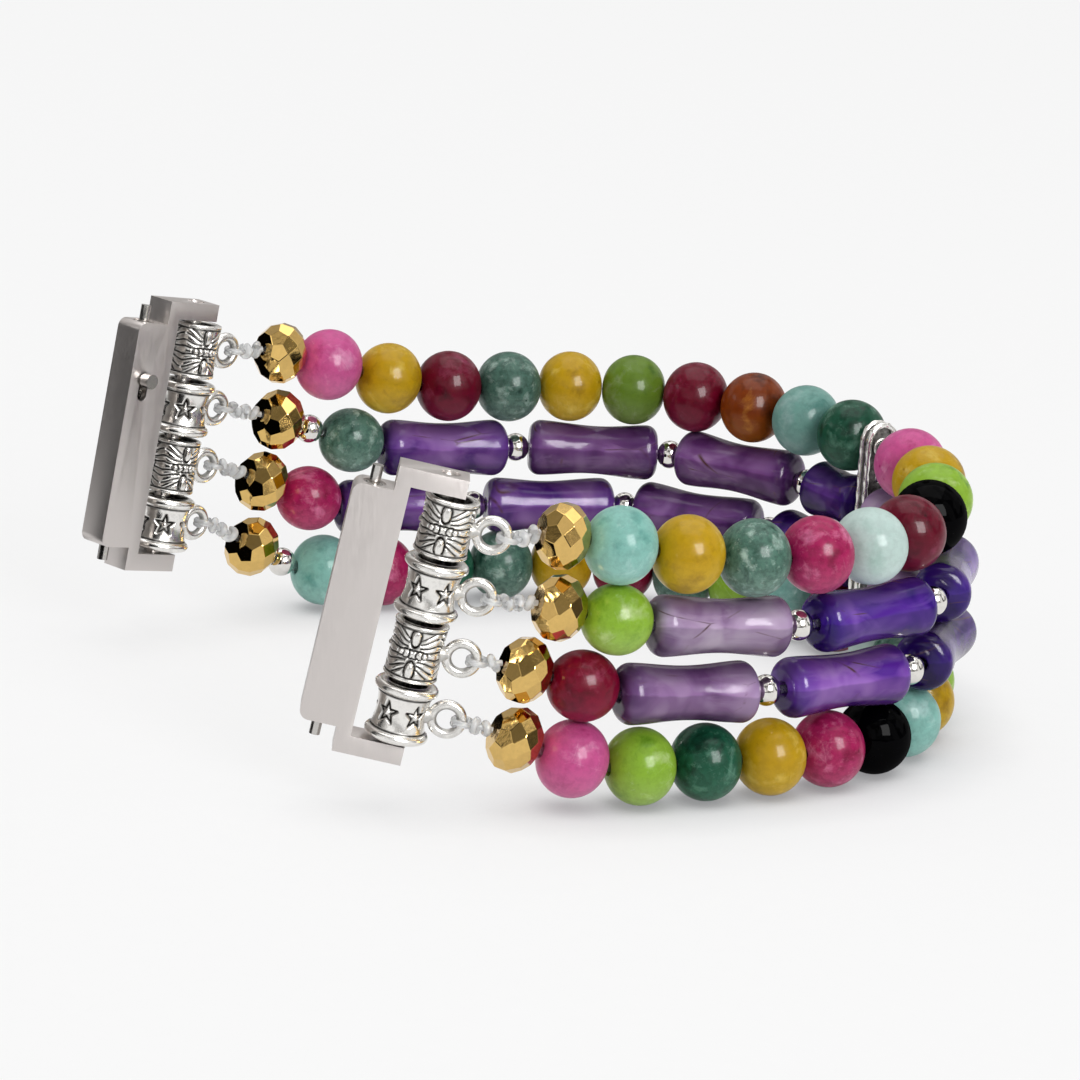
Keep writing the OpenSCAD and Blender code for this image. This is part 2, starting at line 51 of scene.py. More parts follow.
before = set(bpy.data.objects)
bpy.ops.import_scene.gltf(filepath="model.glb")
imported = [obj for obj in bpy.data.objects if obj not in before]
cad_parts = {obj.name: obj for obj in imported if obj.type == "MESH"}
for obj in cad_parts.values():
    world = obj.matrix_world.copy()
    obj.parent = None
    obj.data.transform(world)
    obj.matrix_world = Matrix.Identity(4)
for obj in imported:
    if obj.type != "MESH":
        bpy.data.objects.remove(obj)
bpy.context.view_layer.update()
MM = 0.001


def linear(code):
    """The linear colour of an sRGB hex value."""
    channels = [int(code[i:i + 2], 16) / 255 for i in (1, 3, 5)]
    return [c / 12.92 if c <= 0.04045 else ((c + 0.055) / 1.055) ** 2.4 for c in channels]


def colour(value):
    """A node's colour, from an sRGB hex value or from three linear channels."""
    return (*(linear(value) if isinstance(value, str) else value), 1)


# Sizes and colours that a user would change

class BandSizes(bpy.types.PropertyGroup):
    """Sizes of the pieces on the cords."""

    round_d: bpy.props.FloatProperty(
        name="Round bead", description="Diameter of the beads in the top and floor strands",
        default=6.4 * MM, unit="LENGTH")
    small_round_d: bpy.props.FloatProperty(
        name="Small round bead", description="Diameter of the round beads in the middle strands",
        default=5.8 * MM, unit="LENGTH")
    tube_d: bpy.props.FloatProperty(
        name="Tube end", description="Diameter of an amethyst tube at its ends",
        default=5.05 * MM, unit="LENGTH")
    waist_d: bpy.props.FloatProperty(
        name="Tube waist", description="Diameter of an amethyst tube at its waist",
        default=4.4 * MM, unit="LENGTH")
    ball_d: bpy.props.FloatProperty(
        name="Silver ball", description="Diameter of a silver ball",
        default=2.6 * MM, unit="LENGTH")
    gold_d: bpy.props.FloatProperty(
        name="Gold rondelle", description="Diameter of a gold rondelle across its corners",
        default=5.5 * MM, unit="LENGTH")
    bore_d: bpy.props.FloatProperty(
        name="Bead hole", description="Hole through the beads",
        default=1.15 * MM, unit="LENGTH")
    gap: bpy.props.FloatProperty(
        name="Gap", description="Free space between two neighbours on a cord",
        default=0.18 * MM, unit="LENGTH")
    cord_d: bpy.props.FloatProperty(
        name="Cord", description="Diameter of the elastic cord",
        default=0.7 * MM, unit="LENGTH")
    end_cord_d: bpy.props.FloatProperty(
        name="Knotted cord", description="Diameter of the drawn out cord in the loops and knots",
        default=0.5 * MM, unit="LENGTH")


class BandColours(bpy.types.PropertyGroup):
    """Colours of the metals and of the stage."""

    gold: bpy.props.FloatVectorProperty(
        name="Gold", description="Coating on the rondelles", subtype="COLOR", size=3,
        min=0, max=1, default=linear("#dfba70"))
    silver: bpy.props.FloatVectorProperty(
        name="Bright silver", description="Silver balls", subtype="COLOR", size=3,
        min=0, max=1, default=linear("#e9e6e1"))
    antique: bpy.props.FloatVectorProperty(
        name="Antique silver", description="High places of the bails and the divider",
        subtype="COLOR", size=3, min=0, max=1, default=linear("#eeece8"))
    steel: bpy.props.FloatVectorProperty(
        name="Satin steel", description="End bars", subtype="COLOR", size=3,
        min=0, max=1, default=linear("#d0cac7"))
    backdrop: bpy.props.FloatVectorProperty(
        name="Backdrop", description="Floor and background", subtype="COLOR", size=3,
        min=0, max=1, default=linear("#f8f8f8"))


# Layout of the strands, in millimetres, with the same values as the part's source

BACK_R, BACK_ANGLE, CORNER_R, END_R, END_ANGLE = 32, 40, 22.5, 48, 22
DIVIDER_SHIFT, BELLY, END_GAP = 2.05, 2.4, 8.75
FLOOR_Z, OUTER_STEP, MIDDLE_STEP = 3.2, 5.78, 5.36
ROW_Z, FAR_LIFT, LEAN, BAIL_PITCH = 15.8, 2, 10, 5.2
END_EXTRA, RISE = [0.4, 0, 0, -0.1], [30, 25.8, 20.5, 17]
STRETCH = 3.5
LENGTHS = {"gold": 3.9, "ball": 2.5, "divider": 2, "tube": 12, "short_tube": 10.9, "stub": 7}
ROUND_LENGTHS = [5.9, 5.9, 5.9, 5.85]
STRANDS = [
    "gold aqua ochre teal magenta mint burgundy onyx lime ochre pink ball divider forest aqua"
    " amber burgundy lime ochre teal burgundy ochre pink gold",
    "gold lime tube ball tube ball tube ball tube divider stub ball tube ball tube ball tube"
    " teal ball gold",
    "gold burgundy tube ball tube ball tube ball tube ball divider short_tube ball tube ball"
    " tube ball tube magenta gold",
    "gold pink lime forest ochre magenta onyx aqua ochre lime teal mint divider burgundy aqua"
    " lime teal burgundy ochre teal forest magenta aqua ball gold",
]
STRANDS = [strand.split() for strand in STRANDS]
SIDES = ["near", "far"]
SECTIONS = ["near_end", "near_side", "near_corner", "back", "far_corner", "far_side", "far_end"]
# First piece of each section on each strand, and past the last one
CUTS = [
    [0, 1, 4, 6, 17, 20, 22, 24],
    [0, 1, 3, 5, 14, 16, 18, 20],
    [0, 2, 3, 6, 14, 17, 18, 20],
    [0, 2, 4, 7, 17, 20, 22, 25],
]


def piece_len(strand, name):
    """Length of a piece along its strand, with the gap to the next."""
    return LENGTHS.get(name, ROUND_LENGTHS[strand])


def piece_s(strand, i):
    """Distance along the band where piece i of a strand starts."""
    return STARTS[strand] + sum(piece_len(strand, n) for n in STRANDS[strand][:i])


def near_sum(strand):
    """Length of a strand's pieces before the divider."""
    names = STRANDS[strand]
    return sum(piece_len(strand, n) for n in names[:names.index("divider")])


DIVIDER_S = END_GAP + near_sum(0)
STARTS = [DIVIDER_S - near_sum(k) for k in range(4)]
BAND_LEN = DIVIDER_S + sum(piece_len(0, n) for n in STRANDS[0]) - near_sum(0) + END_GAP
BACK_LEN = BACK_R * math.radians(BACK_ANGLE)
CORNER_LEN = CORNER_R * math.radians(90 - BACK_ANGLE)
END_LEN = END_R * math.radians(END_ANGLE)
HALF_NEAR = DIVIDER_S - DIVIDER_SHIFT
FLAT_Z = [FLOOR_Z + 2 * OUTER_STEP + MIDDLE_STEP, FLOOR_Z + OUTER_STEP + MIDDLE_STEP,
          FLOOR_Z + OUTER_STEP, FLOOR_Z]


def along_arc(x, y, turn, r, length):
    """Place and turn after a length of an arc that starts at x, y with this turn."""
    a = turn + length / r
    return x - r * (math.cos(turn) - math.cos(a)), y + r * (math.sin(a) - math.sin(turn)), a


def half_line(t, straight):
    """Place and turn at distance t from the middle of the back, on the far half."""
    if t <= BACK_LEN:
        return along_arc(0, 0, 0, BACK_R, t)
    corner = along_arc(0, 0, 0, BACK_R, BACK_LEN)
    if t <= BACK_LEN + CORNER_LEN:
        return along_arc(*corner, CORNER_R, t - BACK_LEN)
    x, y, turn = along_arc(*corner, CORNER_R, CORNER_LEN)
    rest = t - BACK_LEN - CORNER_LEN
    x -= min(rest, straight)
    if rest <= straight:
        return x, y, turn
    return along_arc(x, y, turn, END_R, rest - straight)


def line(s):
    """x, y and the direction towards the far end, in radians from +X."""
    fixed = BACK_LEN + CORNER_LEN + END_LEN
    if s < HALF_NEAR:
        x, y, turn = half_line(HALF_NEAR - s, HALF_NEAR - fixed)
        return x, -y, math.pi / 2 - turn
    half_far = BAND_LEN - HALF_NEAR
    x, y, turn = half_line(s - HALF_NEAR, half_far - fixed)
    return x, y, math.pi / 2 + turn


def smooth(x):
    """A soft step from 0 to 1."""
    x = min(max(x, 0), 1)
    return x * x * (3 - 2 * x)


def bail_z(strand):
    """Height of a strand's bail in the row's frame, in millimetres."""
    return (1.5 - strand) * BAIL_PITCH


def height(strand, s):
    """Height of a strand: flat along the back, and rising to its bail at each end."""
    end = ROW_Z + bail_z(strand) * math.cos(math.radians(LEAN)) + END_EXTRA[strand]
    rise = s if s < HALF_NEAR else BAND_LEN - s
    lift = 0 if s < HALF_NEAR else FAR_LIFT
    return FLAT_Z[strand] + (end + lift - FLAT_Z[strand]) * smooth(1 - rise / RISE[strand])


def raw_point(strand, s):
    """A point on a strand in millimetres. The middle strands bulge out before the divider."""
    x, y, turn = line(s)
    start = piece_s(1, CUTS[1][2])
    out = 0
    if strand in (1, 2) and start <= s <= DIVIDER_S:
        out = BELLY * math.sin(math.pi * (s - start) / (DIVIDER_S - start)) ** 2
    return Vector((x + out * math.sin(turn), y - out * math.cos(turn), height(strand, s)))


DIVIDER_PLACE = line(DIVIDER_S + LENGTHS["divider"] / 2)
DIVIDER_LOW, DIVIDER_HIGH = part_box("divider_bar")
SHIFT_X = DIVIDER_PLACE[0] - ((DIVIDER_LOW + DIVIDER_HIGH) / 2).x / MM


def strand_point(strand, s):
    """A point on a strand's hole line, in metres."""
    return (raw_point(strand, s) - Vector((SHIFT_X, 0, 0))) * MM


def vertex(strand, i):
    """The point where piece i of a strand starts."""
    return strand_point(strand, piece_s(strand, i))


def row_frame(side):
    """Matrix of a side's row of bails: local X points to the beads, local Z up the rod."""
    x, y, turn = line(0 if side == "near" else BAND_LEN)
    z = ROW_Z
    if side == "far":
        turn += math.pi
        z += FAR_LIFT
    place = Matrix.Translation(Vector((x - SHIFT_X, y, z)) * MM)
    return place @ Matrix.Rotation(turn, 4, "Z") @ Matrix.Rotation(math.radians(LEAN), 4, "Y")


def section_pieces(section, wanted):
    """Strand, index, name and the two ends of each piece of a section whose name is wanted."""
    k = SECTIONS.index(section)
    found = []
    for strand in range(4):
        for i in range(CUTS[strand][k], CUTS[strand][k + 1]):
            name = STRANDS[strand][i]
            if name in wanted:
                found.append((strand, i, name, vertex(strand, i), vertex(strand, i + 1)))
    return found


# Meshes

def new_object(name, mesh):
    obj = bpy.data.objects.new(name, mesh)
    bpy.context.scene.collection.objects.link(obj)
    return obj


def grid_faces(rows, columns, close_rows=True):
    """Quads of a grid of points whose columns wrap round, as the rows may too."""
    faces = []
    for j in range(rows if close_rows else rows - 1):
        for i in range(columns):
            a, b = i, (i + 1) % columns
            c, d = j, (j + 1) % rows
            faces.append((c * columns + a, c * columns + b, d * columns + b, d * columns + a))
    return faces


def turned(name, profile, steps, length):
    """A closed mesh turned about Z from a closed run of (radius, height), with UVs."""
    rows = len(profile)
    points = [(r * math.cos(2 * math.pi * i / steps), r * math.sin(2 * math.pi * i / steps), z)
              for r, z in profile for i in range(steps)]
    mesh = bpy.data.meshes.new(name)
    mesh.from_pydata(points, [], grid_faces(rows, steps))
    uv = mesh.uv_layers.new(name="round_and_along")
    for face in mesh.polygons:
        first = min(mesh.loops[l].vertex_index % steps for l in face.loop_indices)
        last = max(mesh.loops[l].vertex_index % steps for l in face.loop_indices)
        for l in face.loop_indices:
            index = mesh.loops[l].vertex_index
            i = index % steps
            if first == 0 and last == steps - 1 and i == 0:
                i = steps
            uv.data[l].uv = (i / steps, profile[index // steps][1] / length + 0.5)
    tidy_mesh(mesh)
    return mesh


def tidy_mesh(mesh, angle=40):
    """Faces out and smooth, with edges sharper than the angle kept crisp."""
    work = bmesh.new()
    work.from_mesh(mesh)
    bmesh.ops.recalc_face_normals(work, faces=work.faces)
    work.to_mesh(mesh)
    work.free()
    mesh.shade_smooth()
    mesh.set_sharp_from_angle(angle=math.radians(angle))


def arc(cx, cy, r, start, stop, steps):
    """Points of an arc, angles in degrees."""
    angles = np.radians(np.linspace(start, stop, steps))
    return [(cx + r * math.cos(a), cy + r * math.sin(a)) for a in angles]


def round_profile(diameter, length, hole):
    """Outline of a round bead: a ball with its hole and a small edge where the drill came out."""
    r = length / 2
    middle_r = diameter / 2 - r
    edge = 0.12 * MM
    reach = math.degrees(math.acos((hole / 2 + edge - middle_r) / r))
    outer = arc(middle_r, 0, r, -reach, reach, 27)
    top = outer[-1][1]
    return outer + [(hole / 2, top - edge), (hole / 2, 0), (hole / 2, edge - top)]


def tube_profile(diameter, waist, length, hole):
    """Outline of a waisted tube with round ends and a hole."""
    edge = min(1.05 * MM, length / 5)
    drop = (diameter - waist) / 2
    half = length / 2
    run = half - edge
    side = [(diameter / 2 - drop * (0.5 + 0.5 * math.cos(math.pi * z / run)) ** 0.8, z)
            for z in np.linspace(-run * 0.98, run * 0.98, 29)]
    low = arc(diameter / 2 - edge, -run, edge, -90, -8, 8)
    high = arc(diameter / 2 - edge, run, edge, 8, 90, 8)
    lip = 0.15 * MM
    inside = [(hole / 2 + lip, half), (hole / 2, half - lip), (hole / 2, 0),
              (hole / 2, lip - half), (hole / 2 + lip, -half)]
    return low + side + high + inside


def swept(points, radii, sides=12, closed=False):
    """A tube through points, with a radius at each, as points and faces."""
    points = [Vector(p) for p in points]
    count = len(points)
    ring_points = []
    side = None
    for i, p in enumerate(points):
        before = points[i - 1] if i or closed else p
        after = points[(i + 1) % count] if i + 1 < count or closed else p
        d = (after - before).normalized()
        if side is None:
            side = d.cross(Vector((0, 0, 1)) if abs(d.z) < 0.9 else Vector((1, 0, 0)))
        side = (side - d * side.dot(d)).normalized()
        up = d.cross(side)
        for k in range(sides):
            a = 2 * math.pi * k / sides
            ring_points.append(p + radii[i] * (math.cos(a) * side + math.sin(a) * up))
    faces = grid_faces(count, sides, close_rows=closed)
    if not closed:
        faces.append(tuple(range(sides))[::-1])
        faces.append(tuple((count - 1) * sides + k for k in range(sides)))
    return ring_points, faces


def write_values(mesh, name, values):
    """A number per vertex, for a material to read."""
    mesh.attributes.new(name, "FLOAT", "POINT").data.foreach_set("value", values)


def joined(name, parts):
    """One mesh from several (points, faces) parts."""
    points, faces = [], []
    for part_points, part_faces in parts:
        start = len(points)
        points += [tuple(p) for p in part_points]
        faces += [tuple(start + v for v in face) for face in part_faces]
    mesh = bpy.data.meshes.new(name)
    mesh.from_pydata(points, [], faces)
    return mesh


# Node trees

def add(tree, kind, settings=None, inputs=None):
    """A node with its settings and links. Stops are a colour ramp's (place, colour) pairs."""
    node = tree.nodes.new(kind)
    for key, value in (settings or {}).items():
        if key != "stops":
            setattr(node, key, value)
            continue
        elements = node.color_ramp.elements
        while len(elements) < len(value):
            elements.new(0.5)
        for element, (place, code) in zip(elements, value):
            element.position = place
            element.color = colour(code)
    connect(tree, node, inputs or {})
    return node


def connect(tree, node, inputs):
    """Gives inputs their values, or links them to an output or to a node's first live output."""
    for key, value in inputs.items():
        socket = node.inputs[key]
        if isinstance(value, bpy.types.Node):
            value = next(output for output in value.outputs if output.enabled)
        if isinstance(value, bpy.types.NodeSocket):
            tree.links.new(value, socket)
        else:
            socket.default_value = colour(value) if socket.type == "RGBA" else value


def strung_tree(name, materials, seed):
    """Geometry Nodes: a piece on each point, turned to its axis, in its material."""
    tree = bpy.data.node_groups.new(name, "GeometryNodeTree")
    sockets = tree.interface
    sockets.new_socket("Points", in_out="INPUT", socket_type="NodeSocketGeometry")
    sockets.new_socket("Piece", in_out="INPUT", socket_type="NodeSocketObject")
    spin = sockets.new_socket("Largest spin", in_out="INPUT", socket_type="NodeSocketFloat")
    spin.default_value = 2 * math.pi
    sockets.new_socket("Strung", in_out="OUTPUT", socket_type="NodeSocketGeometry")
    given = add(tree, "NodeGroupInput")
    axis, size, kind = [
        add(tree, "GeometryNodeInputNamedAttribute", {"data_type": data}, {
            "Name": key}).outputs["Attribute"]
        for key, data in (("axis", "FLOAT_VECTOR"), ("size", "FLOAT_VECTOR"), ("kind", "INT"))]
    along = add(tree, "FunctionNodeAlignRotationToVector", {"axis": "Z"}, {"Vector": axis})
    chance = add(tree, "FunctionNodeRandomValue", {"data_type": "FLOAT"}, {
        "Max": given.outputs["Largest spin"], "Seed": seed})
    turn = add(tree, "FunctionNodeAxisAngleToRotation", inputs={
        "Axis": (0, 0, 1), "Angle": chance.outputs[1]})
    spun = add(tree, "FunctionNodeRotateRotation", {"rotation_space": "LOCAL"}, {
        "Rotation": along.outputs["Rotation"], "Rotate By": turn.outputs["Rotation"]})
    piece = add(tree, "GeometryNodeObjectInfo", inputs={"Object": given.outputs["Piece"]})
    placed = add(tree, "GeometryNodeInstanceOnPoints", inputs={
        "Points": given.outputs["Points"], "Instance": piece.outputs["Geometry"],
        "Rotation": spun.outputs["Rotation"], "Scale": size})
    out = add(tree, "GeometryNodeRealizeInstances", inputs={
        "Geometry": placed.outputs["Instances"]}).outputs["Geometry"]
    for k, material in enumerate(materials):
        chosen = add(tree, "FunctionNodeCompare", {"data_type": "INT", "operation": "EQUAL"}, {
            2: kind, 3: k})
        out = add(tree, "GeometryNodeSetMaterial", inputs={
            "Geometry": out, "Selection": chosen.outputs["Result"],
            "Material": material}).outputs["Geometry"]
    add(tree, "NodeGroupOutput", inputs={"Strung": out})
    return tree


def strung(name, tree, piece_mesh, places):
    """The tree's result as a plain mesh object. places holds (point, axis, size, kind, tone)."""
    points = bpy.data.meshes.new(name)
    points.from_pydata([p[0] for p in places], [], [])
    for key, kind, index, field in (("axis", "FLOAT_VECTOR", 1, "vector"),
                                    ("size", "FLOAT_VECTOR", 2, "vector"),
                                    ("kind", "INT", 3, "value"), ("tone", "FLOAT", 4, "value")):
        attribute = points.attributes.new(key, kind, "POINT")
        for k, place in enumerate(places):
            setattr(attribute.data[k], field, place[index])
    obj = new_object(name, points)
    pattern = new_object(name + "_pattern", piece_mesh)
    modifier = obj.modifiers.new("strung", "NODES")
    modifier.node_group = tree
    names = {item.name: item.identifier for item in tree.interface.items_tree}
    modifier[names["Piece"]] = pattern
    modifier[names["Largest spin"]] = 2 * math.pi
    return plain(obj, [pattern])


def plain(obj, helpers=()):
    """The evaluated result as the object's own mesh, with its modifiers and helpers gone."""
    graph = bpy.context.evaluated_depsgraph_get()
    graph.update()
    mesh = bpy.data.meshes.new_from_object(
        obj.evaluated_get(graph), preserve_all_data_layers=True, depsgraph=graph)
    obj.modifiers.clear()
    obj.data = mesh
    for helper in helpers:
        bpy.data.objects.remove(helper)
    return obj


def finish_piece(obj, body, slot, *nodes):
    """Puts a piece in the place of nodes, on its body. The slot is not used."""
    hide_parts(*nodes)
    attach(obj, body)


# Materials

BLEND = {"data_type": "RGBA"}
SHADE = {"data_type": "RGBA", "blend_type": "MULTIPLY"}


def empty_tree(owner):
    """The node tree of a material or a world, with nothing in it."""
    owner.use_nodes = True
    owner.node_tree.nodes.clear()
    return owner.node_tree


def new_material(name, values):
    """A material, its tree and its shader, which has these values on its own sockets."""
    material = bpy.data.materials.new(name)
    tree = empty_tree(material)
    shader = add(tree, "ShaderNodeBsdfPrincipled", inputs=values)
    add(tree, "ShaderNodeOutputMaterial", inputs={"Surface": shader})
    return material, tree, shader


def cells(size):
    """A noise's scale for features of this size in millimetres."""
    return 1000 / size


# Dyed and natural gemstones, tumbled and polished to a wet gloss: the light enters a little and
# comes back, so cloudy veins show below a soft highlight. Base, dark vein, pale cloud, cloud size
# in millimetres, and how many of its flecks show.
STONES = {
    "aqua": ("#8cc4b9", "#5fa096", "#b6dcd6", 2.8, 0.2),
    "ochre": ("#c49c10", "#946e04", "#e4c85c", 3.2, 0.1),
    "teal": ("#587f70", "#1c4438", "#b0cabe", 1.8, 1.0),
    "magenta": ("#ae205c", "#840a3c", "#da7aa2", 2.4, 0.55),
    "mint": ("#c4dad4", "#a8c8be", "#deece8", 4.2, 0.05),
    "burgundy": ("#7c0228", "#460010", "#a84264", 2.8, 0.3),
    "onyx": ("#020203", "#010101", "#060607", 3.0, 0.0),
    "lime": ("#92bc38", "#578a14", "#c8de98", 3.2, 0.15),
    "pink": ("#d05896", "#b03272", "#eaa4c8", 3.2, 0.15),
    "forest": ("#1c5a42", "#083222", "#6ca088", 2.4, 0.6),
    "amber": ("#7e3404", "#441602", "#c07c24", 3.2, 0.1),
}


def stone_material(name, base, dark, pale, size, flecks):
    """One of the gemstones. Onyx lets no light in, and shows no cracks."""
    clear = name != "onyx"
    material, tree, shader = new_material(f"{name}_polished_stone", {
        "Roughness": 0.35, "IOR": 1.54, "Specular IOR Level": 0.03 if clear else 0,
        "Transmission Weight": 0.12 if clear else 0, "Subsurface Weight": 0.3 if clear else 0,
        "Subsurface Radius": (1, 1, 1), "Subsurface Scale": 0.8 * MM,
        "Coat Weight": 0.24 if clear else 0.06, "Coat Roughness": 0.06})
    place = add(tree, "ShaderNodeTexCoord")
    where = place.outputs["Object"]
    up = add(tree, "ShaderNodeSeparateXYZ", inputs={"Vector": place.outputs["Normal"]})
    tone = add(tree, "ShaderNodeAttribute", {"attribute_name": "tone"}).outputs["Fac"]
    cloud = add(tree, "ShaderNodeTexNoise", inputs={
        "Vector": where, "Scale": cells(size), "Detail": 5, "Roughness": 0.6, "Distortion": 0.25})
    body = add(tree, "ShaderNodeValToRGB", {
        "stops": [(0.3, dark), (0.45, base), (0.56, base), (0.72, pale)]}, {"Fac": cloud})
    # Painted light: the lower half of a clear bead is mixed towards its pale colour, where light
    # from above gathers
    lower = add(tree, "ShaderNodeMapRange", inputs={
        "Value": up.outputs["Z"], "From Min": 0.1, "From Max": -0.95})
    painted_lower_glow = add(tree, "ShaderNodeMath", {"operation": "MULTIPLY"}, {0: lower, 1: 0.4})
    body = add(tree, "ShaderNodeMix", BLEND, {0: painted_lower_glow, 6: body, 7: pale})
    grain = add(tree, "ShaderNodeTexNoise", inputs={
        "Vector": where, "Scale": cells(0.6), "Detail": 4, "Roughness": 0.7})
    mottle = add(tree, "ShaderNodeValToRGB", {"stops": [(0.38, "#808080"), (0.58, "#ffffff")]}, {
        "Fac": grain})
    body = add(tree, "ShaderNodeMix", SHADE, {0: 0.1 + 0.4 * flecks, 6: body, 7: mottle})
    # Flecks of other minerals, 0.2 to 0.5 mm across, pale and dark
    crystals = add(tree, "ShaderNodeTexNoise", inputs={
        "Vector": where, "Scale": cells(0.9), "Detail": 6, "Roughness": 0.75})
    spots = add(tree, "ShaderNodeValToRGB", {"stops": [(0.56, "#000000"), (0.7, "#ffffff")]}, {
        "Fac": crystals})
    amount = add(tree, "ShaderNodeMath", {"operation": "MULTIPLY"}, {0: spots, 1: 0.8 * flecks})
    body = add(tree, "ShaderNodeMix", BLEND, {0: amount, 6: body, 7: pale})
    dots = add(tree, "ShaderNodeTexVoronoi", inputs={"Vector": where, "Scale": cells(3.2)})
    dark_dots = add(tree, "ShaderNodeValToRGB", {"stops": [(0.02, "#ffffff"), (0.06, "#000000")]}, {
        "Fac": dots})
    body = add(tree, "ShaderNodeMix", BLEND, {0: dark_dots, 6: body, 7: dark})
    if clear:
        # Thin healed cracks glint inside
        tilted = add(tree, "ShaderNodeMapping", inputs={
            "Vector": where, "Rotation": (0.6, 0.4, 0.9), "Scale": (1, 0.5, 1.4)})
        crack = add(tree, "ShaderNodeTexVoronoi", {"feature": "DISTANCE_TO_EDGE"}, {
            "Vector": tilted, "Scale": cells(4)})
        thin = add(tree, "ShaderNodeValToRGB", {
            "stops": [(0.002, "#999999"), (0.014, "#000000")]}, {"Fac": crack})
        broken = add(tree, "ShaderNodeValToRGB", {"stops": [(0.5, "#000000"), (0.6, "#ffffff")]}, {
            "Fac": cloud})
        glint = add(tree, "ShaderNodeMath", {"operation": "MULTIPLY"}, {0: thin, 1: broken})
        body = add(tree, "ShaderNodeMix", BLEND, {0: glint, 6: body, 7: pale})
    # Some beads of a colour are cut from darker stone
    darker = add(tree, "ShaderNodeMix", SHADE, {0: 1.0, 6: body, 7: "#989898"})
    body = add(tree, "ShaderNodeMix", BLEND, {0: tone, 6: body, 7: darker})
    hand = add(tree, "ShaderNodeTexNoise", inputs={
        "Vector": where, "Scale": cells(2.2), "Detail": 2, "Roughness": 0.5})
    ripple = add(tree, "ShaderNodeBump", inputs={
        "Height": hand, "Distance": 0.25 * MM, "Strength": 0.25})
    connect(tree, shader, {"Base Color": body, "Normal": ripple, "Coat Normal": ripple})
    return material


# Pale, middle and deep zones of the amethyst, in six steps from the palest bead to the deepest
AMETHYST = (
    ("#e0cde5", "#b890c4", "#9a6cae", "#b886dc", "#8c5cc8", "#5c2f7c"),
    ("#c0a4c9", "#8e5c9e", "#74448a", "#9058c0", "#5c2ca4", "#421860"),
    ("#9a78a5", "#6a367a", "#4c245e", "#5a1ca0", "#300c80", "#2c0640"),
)


